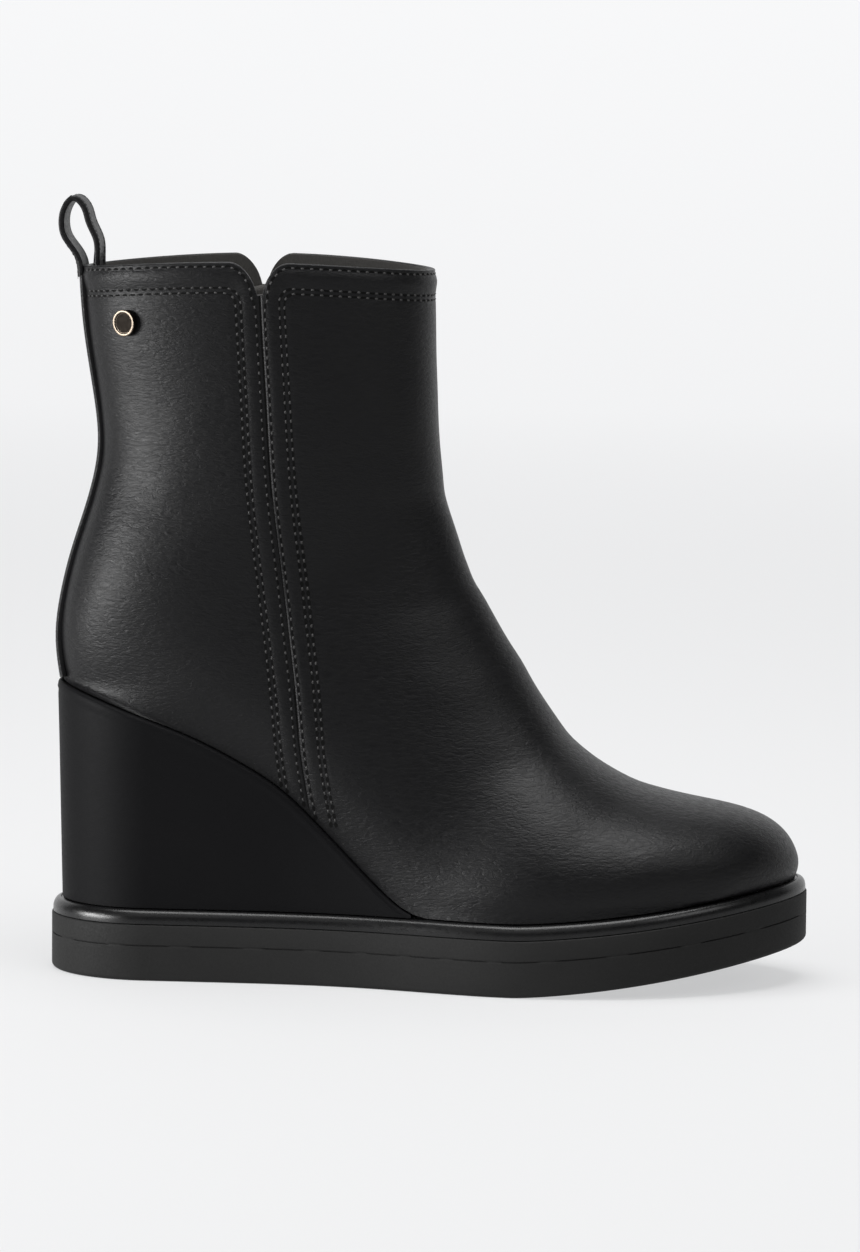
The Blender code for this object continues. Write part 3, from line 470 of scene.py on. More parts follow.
        end_body = (1 - nose) * full + nose * (self.side_width[side](rear_x) - inset + swell) * end_round
        open_foot = self.half_width(rear_x, side, inset) / end_body
        foot = np.where(number < self.heel_section, open_foot, 0.0)
        closed = np.maximum(sine, 0) ** (2 / close)
        sharp = self.heel_closing_sharpness
        closing = np.where(before, 1.0, (foot**sharp + (1 - foot**sharp) * closed**sharp) ** (1 / sharp))
        spine = (1 - share) * (self.centre(front_x) + self.ridge_shift * self.curve["ridge"](number))
        spine = spine + share * self.centre(rear_x)
        return np.stack([x, spine + side.value * body * closing, z], -1)

    def normal(self, number: Array, turn: Array, side: Side) -> Array:
        """Outward unit normals of the upper."""
        step = 1e-3
        along = self.skin(number + step, turn, side) - self.skin(number - step, turn, side)
        low, high = np.clip(turn - step, 0, math.pi), np.clip(turn + step, 0, math.pi)
        across = self.skin(number, high, side) - self.skin(number, low, side)
        out = np.cross(across, along) * side.value
        return out / np.maximum(np.linalg.norm(out, axis=-1, keepdims=True), 1e-12)

    def turn_at(self, number: Array, share: Array) -> Array:
        """The turn that lies at a share of the way from front to rear."""
        widest, crown, tuck = (self.curve[n](number) for n in ("widest", "crown", "tuck"))
        front = np.clip(1 - share / widest, 0, 1) ** (crown / 2)
        rear = np.clip((share - widest) / (1 - widest), 0, 1) ** (tuck / 2)
        return np.where(share <= widest, np.arccos(front), np.arccos(-rear))

    def seam_x(self, z: Array, side: Side) -> Array:
        """X of the side seam at a height."""
        return self.seam_line(z) + (self.medial_seam_shift if side is Side.MEDIAL else 0.0)

    def seam_share(self, number: Array, side: Side, most: float = 0.985) -> Array:
        """Share of the way from front to rear at which a section crosses the side seam."""
        front_x, front_z = self.front_point(number)
        rear_x, rear_z = self.rear_point(number)
        share = np.full(np.shape(number), 0.5)
        for _ in range(14):
            height = front_z + share * (rear_z - front_z)
            share = np.clip((front_x - self.seam_x(height, side)) / (front_x - rear_x), 0.1, most)
        return share

    def section_at_height(self, z: Array) -> Array:
        """Number of the level section at a height."""
        return np.interp(z, self.level_heights, self.levels)

    def notch_drop(self, distance: Array) -> Array:
        """How far the collar dips at a distance from the seam, negative to the rear."""
        width = np.where(distance < 0, self.notch_rear_width, self.notch_front_width)
        into = np.clip(1 - (np.abs(distance) - self.notch_floor / 2) / width, 0, 1)
        return self.notch_depth * (1 - (1 - into**self.notch_roundness) ** (1 / self.notch_roundness))

    def collar_line(self, x: Array) -> Array:
        """Height of the collar's edge at X, without its notches."""
        back = self.rear_point(np.array(self.rim_section))[0]
        front = self.curve["front_x"](np.array(self.rim_section))
        share = np.clip((x - back) / (front - back), 0, 1)
        return self.collar_height + self.collar_arch * np.sin(math.pi * share)

    def collar_z(self, x: Array, side: Side) -> Array:
        """Height of the collar's edge at X."""
        return self.collar_line(x) - self.notch_drop(x - self.seam_x(np.array(self.collar_height), side))

    def locate(self, x: Array, z: Array) -> tuple[Array, Array]:
        """Spots on the upper whose side view lies at X and Z.

        Args:
            x: X of the points.
            z: Z of the points.

        Returns:
            Section numbers and turns.
        """
        fine = np.linspace(0, self.last_section, 1400)
        front_x, front_z = self.front_point(fine)
        rear_x, rear_z = self.rear_point(fine)
        run, rise = rear_x - front_x, rear_z - front_z
        numbers = []
        for px, pz in zip(np.atleast_1d(x), np.atleast_1d(z)):
            above = run * (pz - front_z) - rise * (px - front_x)
            change = np.nonzero((above[:-1] <= 0) != (above[1:] <= 0))[0]
            i = int(change[-1]) if len(change) else len(fine) - 2
            share = above[i] / (above[i] - above[i + 1]) if len(change) else 1.0
            numbers.append(fine[i] + share * (fine[i + 1] - fine[i]))
        number = np.array(numbers)
        front_x, rear_x = self.front_point(number)[0], self.rear_point(number)[0]
        share = np.clip((np.atleast_1d(x) - front_x) / (rear_x - front_x), 0, 1)
        return number, self.turn_at(number, share)


class NodeSheet:
    """A material's node tree with short calls to fill it."""

    def __init__(self, name: str) -> None:
        """Starts a material with only its shader."""
        self.material = bpy.data.materials.new(name)
        self.material.use_nodes = True
        self.tree = self.material.node_tree
        self.shader = self.tree.nodes["Principled BSDF"]
        self.place = self.node("ShaderNodeTexCoord").outputs["Object"]

    def node(self, kind: str, **values: object) -> bpy.types.Node:
        """Adds a node.

        Args:
            kind: the node's type.
            values: its inputs by name, a number or an output to link.

        Returns:
            The node.
        """
        made = self.tree.nodes.new(kind)
        for name, value in values.items():
            self.feed(made.inputs[name.replace("_", " ")], value)
        return made

    def feed(self, socket: bpy.types.NodeSocket, value: object) -> None:
        """Links an output to a socket, or sets its value."""
        if isinstance(value, bpy.types.NodeSocket):
            self.tree.links.new(value, socket)
        else:
            socket.default_value = value

    def stretched(self, scale: tuple[float, float, float]) -> bpy.types.NodeSocket:
        """Object coordinates with each axis scaled."""
        return self.node("ShaderNodeMapping", Vector=self.place, Scale=scale).outputs["Vector"]

    def noise(
        self, scale: float, detail: float, axes: tuple[float, float, float] = (1, 1, 1), rough: float = 0.55,
        swirl: float = 0.0,
    ) -> bpy.types.NodeSocket:
        """A noise pattern.

        Args:
            scale: patches to the metre.
            detail: number of finer layers.
            axes: stretch of each axis.
            rough: strength of the finer layers.
            swirl: how far the pattern is drawn out of line.

        Returns:
            The pattern, about 0.5.
        """
        made = self.node("ShaderNodeTexNoise", Vector=self.stretched(axes), Scale=scale, Detail=detail,
                         Roughness=rough, Distortion=swirl)
        return made.outputs["Fac"]

    def ramp(
        self, source: bpy.types.NodeSocket, low: float, high: float, start: float, end: float
    ) -> bpy.types.NodeSocket:
        """Carries one range of numbers to another.

        Args:
            source: the numbers.
            low: where the first range starts.
            high: where it ends.
            start: what low becomes.
            end: what high becomes.

        Returns:
            The new numbers.
        """
        made = self.tree.nodes.new("ShaderNodeMapRange")
        self.feed(made.inputs["Value"], source)
        for name, value in (("From Min", low), ("From Max", high), ("To Min", start), ("To Max", end)):
            made.inputs[name].default_value = value
        return made.outputs["Result"]

    def tint(
        self, source: bpy.types.NodeSocket, dark: tuple[float, ...], light: tuple[float, ...]
    ) -> bpy.types.NodeSocket:
        """A colour between two, by a pattern."""
        made = self.tree.nodes.new("ShaderNodeMix")
        made.data_type = "RGBA"
        self.feed(made.inputs["Factor"], source)
        made.inputs["A"].default_value = (*dark, 1.0)
        made.inputs["B"].default_value = (*light, 1.0)
        for socket in made.inputs:
            if socket.type == "RGBA":
                socket.default_value = (*(dark if socket.name == "A" else light), 1.0)
        return next(o for o in made.outputs if o.type == "RGBA")

    def relief(
        self, height: bpy.types.NodeSocket, depth: float, strength: float,
        under: Optional[bpy.types.NodeSocket] = None,
    ) -> bpy.types.NodeSocket:
        """A bump from a height pattern.

        Args:
            height: the pattern.
            depth: its depth in metres.
            strength: how much of it shows.
            under: another relief that it lies on.

        Returns:
            The normal.
        """
        made = self.node("ShaderNodeBump", Height=height, Distance=depth, Strength=strength)
        if under is not None:
            self.tree.links.new(under, made.inputs["Normal"])
        return made.outputs["Normal"]

    def dress(self, **values: object) -> bpy.types.Material:
        """Sets the shader's sockets and returns the material."""
        for name, value in values.items():
            self.feed(self.shader.inputs[name.replace("_", " ")], value)
        return self.material


@dataclass(frozen=True)
class SmoothLeather:
    """Black smooth leather with fine wavy grain."""

    name: str = "black_smooth_leather"
    dark: tuple[float, float, float] = (0.0018, 0.0018, 0.0022)
    light: tuple[float, float, float] = (0.0033, 0.0033, 0.0037)
    roughness: tuple[float, float] = (0.36, 0.50)
    grain: float = 950.0
    grain_depth: float = 0.0010
    pore_depth: float = 0.00005
    coat: float = 0.02
    shine: float = 0.19

    def build(self) -> bpy.types.Material:
        """Makes the material."""
        sheet = NodeSheet(self.name)
        waves = sheet.noise(self.grain, 5.0, (0.42, 0.5, 1.2), 0.55, 0.8)
        pores = sheet.noise(self.grain * 5.5, 3.0, (0.8, 0.8, 1.1), 0.5)
        broad = sheet.noise(26.0, 3.0)
        under = sheet.relief(waves, self.grain_depth, 0.30)
        normal = sheet.relief(pores, self.pore_depth, 0.45, under)
        return sheet.dress(
            Base_Color=sheet.tint(broad, self.dark, self.light),
            Roughness=sheet.ramp(waves, 0.3, 0.7, self.roughness[0], self.roughness[1]),
            Specular_IOR_Level=self.shine, Coat_Weight=self.coat, Coat_Roughness=0.30, Normal=normal,
        )


@dataclass(frozen=True)
class SoleFoam:
    """Matt dark sole material with a fine moulded skin."""

    name: str = "matt_black_sole"
    dark: tuple[float, float, float] = (0.0075, 0.0075, 0.0075)
    light: tuple[float, float, float] = (0.0130, 0.0130, 0.0127)

    def build(self) -> bpy.types.Material:
        """Makes the material."""
        sheet = NodeSheet(self.name)
        skin = sheet.noise(1500.0, 4.0)
        broad = sheet.noise(60.0, 4.0, (0.5, 1, 1))
        normal = sheet.relief(skin, 0.00012, 0.35)
        return sheet.dress(
            Base_Color=sheet.tint(broad, self.dark, self.light),
            Roughness=sheet.ramp(skin, 0.3, 0.7, 0.62, 0.78),
            Specular_IOR_Level=0.2, Normal=normal,
        )


@dataclass(frozen=True)
class WovenLining:
    """Dark woven lining cloth."""

    name: str = "dark_lining"
    dark: tuple[float, float, float] = (0.022, 0.021, 0.019)
    light: tuple[float, float, float] = (0.052, 0.049, 0.045)

    def build(self) -> bpy.types.Material:
        """Makes the material."""
        sheet = NodeSheet(self.name)
        weave = sheet.noise(1900.0, 2.0, (1, 1, 0.45))
        normal = sheet.relief(weave, 0.0002, 0.5)
        return sheet.dress(
            Base_Color=sheet.tint(weave, self.dark, self.light), Roughness=0.85,
            Sheen_Weight=0.2, Sheen_Roughness=0.5, Normal=normal,
        )


@dataclass(frozen=True)
class SewingThread:
    """Waxed sewing thread, a shade lighter than the leather."""

    name: str = "sewing_thread"
    colour: tuple[float, float, float] = (0.015, 0.0145, 0.014)

    def build(self) -> bpy.types.Material:
        """Makes the material."""
        sheet = NodeSheet(self.name)
        twist = sheet.noise(4200.0, 2.0)
        light = tuple(1.5 * c for c in self.colour)
        return sheet.dress(
            Base_Color=sheet.tint(twist, self.colour, light), Roughness=0.55,
            Normal=sheet.relief(twist, 0.00008, 0.5),
        )


@dataclass(frozen=True)
class PaintedHoleShade:
    """Painted shade: a near-black colour that stands for the shade in the stitch dents and in the open side seam.
    """

    name: str = "painted_hole_shade"

    def build(self) -> bpy.types.Material:
        """Makes the material."""
        sheet = NodeSheet(self.name)
        mottle = sheet.noise(3000.0, 2.0)
        # Painted shade, near black with a faint random mottle.
        return sheet.dress(
            Base_Color=sheet.tint(mottle, (0.001, 0.001, 0.001), (0.003, 0.003, 0.003)), Roughness=0.8,
            Specular_IOR_Level=0.1,
        )


@dataclass(frozen=True)
class DarkMetal:
    """Dark polished metal."""

    name: str = "dark_polished_metal"
    dark: tuple[float, float, float] = (0.060, 0.049, 0.038)
    light: tuple[float, float, float] = (0.100, 0.083, 0.066)
    roughness: float = 0.2

    def build(self) -> bpy.types.Material:
        """Makes the material."""
        sheet = NodeSheet(self.name)
        wear = sheet.noise(900.0, 4.0)
        return sheet.dress(
            Base_Color=sheet.tint(wear, self.dark, self.light), Metallic=1.0,
            Roughness=sheet.ramp(wear, 0.3, 0.7, self.roughness * 0.8, self.roughness * 1.3),
            Normal=sheet.relief(wear, 0.00003, 0.2),
        )


@dataclass
class Wardrobe:
    """Every finish of the boot, made once."""

    leather: bpy.types.Material = field(default_factory=lambda: SmoothLeather().build())
    wrap: bpy.types.Material = field(
        default_factory=lambda: SmoothLeather(
            "black_wrap_cover", (0.0030, 0.0030, 0.0035), (0.0052, 0.0052, 0.0056), (0.50, 0.60), 1300.0,
            0.00014, 0.00005, 0.0, 0.06,
        ).build()
    )
    band: bpy.types.Material = field(
        default_factory=lambda: SmoothLeather(
            "black_glossy_band", (0.0028, 0.0028, 0.0031), (0.0045, 0.0045, 0.0047), (0.24, 0.34), 900.0,
            0.00006, 0.00002, 0.10, 0.30,
        ).build()
    )
    sole: bpy.types.Material = field(default_factory=lambda: SoleFoam().build())
    lining: bpy.types.Material = field(default_factory=lambda: WovenLining().build())
    thread: bpy.types.Material = field(default_factory=lambda: SewingThread().build())
    # Painted shade for the stitch dents and the open side seam.
    hole_shade: bpy.types.Material = field(default_factory=lambda: PaintedHoleShade().build())
    metal: bpy.types.Material = field(default_factory=lambda: DarkMetal().build())
    dish: bpy.types.Material = field(
        default_factory=lambda: DarkMetal(
            "dark_metal_dish", (0.0035, 0.0029, 0.0024), (0.010, 0.0083, 0.0068), 0.46,
        ).build()
    )


class Bench:
    """Turns points and primitives into finished pieces."""

    @staticmethod
    def clear() -> None:
        """Deselects everything."""
        if bpy.context.mode != "OBJECT":
            bpy.ops.object.mode_set(mode="OBJECT")
        for obj in bpy.context.view_layer.objects:
            obj.select_set(False)

    @staticmethod
    def take(obj: bpy.types.Object) -> None:
        """Makes an object the only one selected."""
        Bench.clear()
        obj.select_set(True)
        bpy.context.view_layer.objects.active = obj

    @staticmethod
    def sheet(name: str, points: Array, faces: Sequence[Sequence[int]], materials: Sequence[bpy.types.Material],
              angle: float = 40.0, slots: Optional[Sequence[int]] = None) -> bpy.types.Object:
        """Makes a mesh object with its faces outwards.

        Args:
            name: the piece's name.
            points: its points.
            faces: its faces, by point.
            materials: its materials.
            angle: edges sharper than this stay sharp, in degrees.
            slots: each face's material, if there are several.

        Returns:
            The object.
        """
        mesh = bpy.data.meshes.new(name)
        mesh.from_pydata(np.asarray(points, float).tolist(), [], [list(f) for f in faces])
        if slots is not None:
            mesh.polygons.foreach_set("material_index", np.asarray(slots, np.int32))
        obj = bpy.data.objects.new(name, mesh)
        bpy.context.scene.collection.objects.link(obj)
        for material in materials:
            mesh.materials.append(material)
        Bench.take(obj)
        bpy.ops.object.mode_set(mode="EDIT")
        bpy.ops.mesh.select_all(action="SELECT")
        bpy.ops.mesh.remove_doubles(threshold=1e-6)
        bpy.ops.mesh.delete_loose()
        bpy.ops.mesh.select_all(action="SELECT")
        bpy.ops.mesh.normals_make_consistent(inside=False)
        bpy.ops.object.mode_set(mode="OBJECT")
        bpy.ops.object.shade_smooth_by_angle(angle=math.radians(angle))
        return obj

    @staticmethod
    def apply(obj: bpy.types.Object, kind: str, **values: object) -> None:
        """Adds a modifier, sets it and applies it."""
        Bench.take(obj)
        modifier = obj.modifiers.new(kind.lower(), kind)
        for name, value in values.items():
            setattr(modifier, name, value)
        bpy.ops.object.modifier_apply(modifier=modifier.name)

    @staticmethod
    def seat(obj: bpy.types.Object, slot: Slot, replaces: Sequence[str] = ()) -> bpy.types.Object:
        """Lets a piece ride on the boot and stand for solids."""
        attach(obj, "root")
        if replaces:
            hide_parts(*replaces)
        return obj


@dataclass
class OutlineLoft:
    """A solid through rings round the sole's outline."""

    form: BootForm
    steps: int = 150

    def stations(self, start: float, end: float, blunt: bool = False) -> Array:
        """X positions that crowd towards rounded ends."""
        angles = np.linspace(0, math.pi / 2 if blunt else math.pi, self.steps + 1)
        return start + (1 - np.cos(angles)) / (1 if blunt else 2) * (end - start)

    def ring(self, xs: Array, inset: Array, heights: Array, blunt: bool = False) -> Array:
        """Points round the outline.

        Args:
            xs: stations from the heel.
            inset: how far inside the sole's edge each lies.
            heights: Z at each.
            blunt: whether the front is cut straight.

        Returns:
            Points down the outer side and back along the inner side.
        """
        inset, heights = np.broadcast_to(inset, xs.shape), np.broadcast_to(heights, xs.shape)
        middle = self.form.centre(xs)
        outer = np.stack([xs, middle - self.form.half_width(xs, Side.LATERAL, inset), heights], 1)
        inner = np.stack([xs, middle + self.form.half_width(xs, Side.MEDIAL, inset), heights], 1)
        return np.concatenate([outer, (inner[1:] if blunt else inner[1:-1])[::-1]])

    def solid(self, name: str, rings: Sequence[Array], materials: Sequence[bpy.types.Material],
              blunt: bool = False, bands: Optional[Sequence[int]] = None, angle: float = 40.0) -> bpy.types.Object:
        """Closes rings into a solid.

        Args:
            name: the piece's name.
            rings: rings of equal length, from one end to the other.
            materials: its materials.
            blunt: whether the rings' fronts are cut straight.
            bands: the material of each band between rings.
            angle: edges sharper than this stay sharp, in degrees.

        Returns:
            The object.
        """
        size, faces, slots = len(rings[0]), [], []
        for level in range(len(rings) - 1):
            low, high = level * size, (level + 1) * size
            for i in range(size):
                j = (i + 1) % size
                faces.append((low + i, low + j, high + j, high + i))
                slots.append(bands[level] if bands else 0)
        for start in (0, (len(rings) - 1) * size):
            for i in range(self.steps):
                rung = [start + i, start + i + 1, start + (size - i - 1) % size, start + (size - i) % size]
                if i == self.steps - 1 and not blunt:
                    rung = [start + i, start + i + 1, start + size - i]
                elif i == 0:
                    rung = [start, start + 1, start + size - 1]
                faces.append(tuple(rung))
                slots.append((bands[0] if start == 0 else bands[-1]) if bands else 0)
        return Bench.sheet(name, np.concatenate(rings), faces, materials, angle, slots)


@dataclass
class Outsole:
    """The thick matt sole, with a rounded foot and a broken line round its side."""

    form: BootForm
    finishes: Wardrobe
    edge_radius: float = 0.0014
    line_below_top: float = 0.0064
    line_depth: float = 0.00042
    line_width: float = 0.00024
    dash: float = 0.017
    lip: float = 0.0004

    def broken(self, xs: Array) -> Array:
        """How open the line is along the side, 1 on a dash and less where the skin has closed."""
        wave = np.sin(2 * math.pi * xs / self.dash + 2.1 * np.sin(xs * 47.0))
        return 0.25 + 0.75 * smooth_step(-0.85, -0.35, wave)

    def build(self) -> bpy.types.Object:
        """Makes the sole."""
        loft = OutlineLoft(self.form, 320)
        rings = []

        def level(inset: float, height: Callable[[Array], Array]) -> None:
            """Adds a ring at an inset and a height."""
            xs = loft.stations(self.form.heel_x + inset, self.form.toe_x - inset)
            rings.append(loft.ring(xs, inset, height(xs)))

        for angle in (0, 22, 45, 68, 90):
            inset = self.edge_radius * (1 - math.sin(math.radians(angle)))
            lift = self.edge_radius * (1 - math.cos(math.radians(angle)))
            level(inset, lambda xs, lift=lift: self.form.sole_bottom(xs) + lift)
        for below, share in ((3.0, 0.0), (1.0, 0.0), (0.4, 1.0), (-0.4, 1.0), (-1.0, 0.0), (-3.0, 0.0)):
            drop = self.line_below_top + below * self.line_width
            xs = loft.stations(self.form.heel_x, self.form.toe_x)
            cut = self.line_depth * share * self.broken(xs)
            rings.append(loft.ring(xs, cut, self.form.sole_top(xs) - drop))
        for below, inset in ((self.lip, 0.0), (self.lip * 0.35, self.lip * 0.25), (0.0, self.lip)):
            level(inset, lambda xs, below=below: self.form.sole_top(xs) - below)
        sole = loft.solid("outsole_dressed", rings, [self.finishes.sole], angle=50)
        return Bench.seat(sole, Slot.SOLE, ["outsole"])


@dataclass
class Platform:
    """The thin glossy band between sole and upper, with a fine second ridge inside its round."""

    form: BootForm
    finishes: Wardrobe
    inset: float = 0.0004
    round_width: float = 0.0024
    round_height: float = 0.0034
    ridge: float = 0.00045

    def build(self) -> bpy.types.Object:
        """Makes the band."""
        loft = OutlineLoft(self.form, 200)
        rings = []
        xs = loft.stations(self.form.heel_x + self.inset, self.form.toe_x - self.inset)
        rings.append(loft.ring(xs, self.inset, self.form.sole_top(xs) + self.form.clearance))
        for angle in range(0, 91, 10):
            inset = self.inset + self.round_width * (1 - math.cos(math.radians(angle)))
            drop = self.round_height * (1 - math.sin(math.radians(angle)))
            xs = loft.stations(self.form.heel_x + inset, self.form.toe_x - inset)
            rings.append(loft.ring(xs, inset, self.form.platform_top(xs) - drop))
        for further, drop in ((0.0002, 0.00035), (0.0006, 0.0001), (0.0014, 0.0), (0.0022, 0.0)):
            inset = self.inset + self.round_width + further
            xs = loft.stations(self.form.heel_x + inset, self.form.toe_x - inset)
            rings.append(loft.ring(xs, inset, self.form.platform_top(xs) - drop))
        band = loft.solid("platform_band", rings, [self.finishes.band], angle=60)
        return Bench.seat(band, Slot.WRAP, ["platform"])


@dataclass
class Wedge:
    """The wrapped wedge, with a soft folded lip along its upper edge."""

    form: BootForm
    finishes: Wardrobe
    edge_radius: float = 0.0016
    tip_height: float = 0.0009
    lip_out: float = 0.00035
    crease_below: float = 0.0034
    crease_bulges: tuple[tuple[float, float], ...] = ((0.0, 0.0), (1.0, 0.0), (0.55, -0.25), (0.25, 0.5))

    def front(self) -> float:
        """X at which the wedge has thinned to its tip."""
        back, length = self.form.wedge_back, self.form.wedge_length
        xs = np.linspace(back + 0.7 * length, back + length, 300)
        return float(np.interp(-(self.tip_height + self.form.clearance), -self.form.wedge_rise(xs), xs))

    def build(self) -> bpy.types.Object:
        """Makes the wedge."""
        loft = OutlineLoft(self.form, 160)
        front = self.front()
        rings = []
        spots = [(share, 0.0, 0.0) for share in (0.0, 0.2, 0.4, 0.6, 0.75)]
        spots += [(1.0, 0.0, 1.0), (1.0, 0.0, 0.55), (1.0, 0.0, 0.25)]
        spots += [(1.0, math.radians(a), 0.0) for a in (0, 15, 30, 45, 60, 75, 90)]
        for share, angle, low in spots:
            edge = self.form.wedge_foot_inset - self.form.wedge_flare * share
            into = self.edge_radius * (1 - math.cos(angle))
            xs = loft.stations(self.form.heel_x + edge + into, front, blunt=True)
            height = self.form.wedge_rise(xs) - self.form.clearance
            radius = np.minimum(self.edge_radius, 0.45 * height)
            rim = radius * (1 - math.sin(angle))
            below = np.minimum(self.crease_below, 0.18 * height) * low
            fold = smooth_step(0.0, 0.006, height)
            bulge = self.lip_out * fold * dict(self.crease_bulges)[low]
            flare = self.form.wedge_flare * share * self.form.wedge_rise(xs) / self.form.wedge_height
            insets = self.form.wedge_foot_inset - flare
            insets = insets + radius * (1 - math.cos(angle)) - bulge
            z = self.form.platform_top(xs) + self.form.clearance + share * (height - rim) - below
            z = np.maximum(z, self.form.platform_top(xs) + self.form.clearance)
            rings.append(loft.ring(xs, insets, z, blunt=True))
        block = loft.solid("wedge_cover", rings, [self.finishes.wrap], blunt=True, angle=55)
        return Bench.seat(block, Slot.WRAP, ["wedge"])


@dataclass
class Insole:
    """The padded insole that lies on the wedge and the platform."""

    form: BootForm
    finishes: Wardrobe
    thickness: float = 0.0026
    margin: float = 0.0019
    dish: float = 0.0008

    def build(self) -> bpy.types.Object:
        """Makes the insole."""
        loft = OutlineLoft(self.form, 120)
        rings = []
        inside = self.form.upper_wall + self.margin
        for lift, inset in ((0.0, 0.0), (self.thickness * 0.6, 0.0), (self.thickness * 0.93, 0.0004),
                            (self.thickness, 0.0012), (self.thickness - self.dish, 0.007)):
            start = self.form.heel_tip + inside + inset
            end = self.form.toe_x - self.form.feather_inset - inside - inset
            xs = loft.stations(start, end)
            insets = self.form.feather_in(xs) + inside + inset
            rings.append(loft.ring(xs, insets, self.form.seat_height(xs) + self.form.clearance + lift))
        pad = loft.solid("insole_pad", rings, [self.finishes.lining])
        return Bench.seat(pad, Slot.LINING, ["insole"])


@dataclass(frozen=True)
class Crease:
    """One soft crease or swell of the leather, along a line seen from the side."""

    line: tuple[tuple[float, float], ...]
    width: float
    height: float
    sides: tuple[Side, ...] = (Side.LATERAL, Side.MEDIAL)

    def relief(self, points: Array, side: Side) -> Array:
        """How far the crease lifts points along their normals.

        Args:
            points: points of the upper.
            side: the side that they are on.

        Returns:
            Heights, negative for a trough.
        """
        if side not in self.sides:
            return np.zeros(len(points))
        line = np.array(self.line)
        near = line_distance(points[:, [0, 2]], line)
        run = line[-1] - line[0]
        share = ((points[:, [0, 2]] - line[0]) @ run) / float(run @ run)
        fade = smooth_step(-0.25, 0.25, share) * (1 - smooth_step(0.75, 1.25, share))
        return self.height * bump(near, self.width) * fade


@dataclass(frozen=True)
class SeamRow:
    """A stitch row that runs down beside the side seam and along under the collar."""

    from_seam: float
    below_collar: float
    corner: float


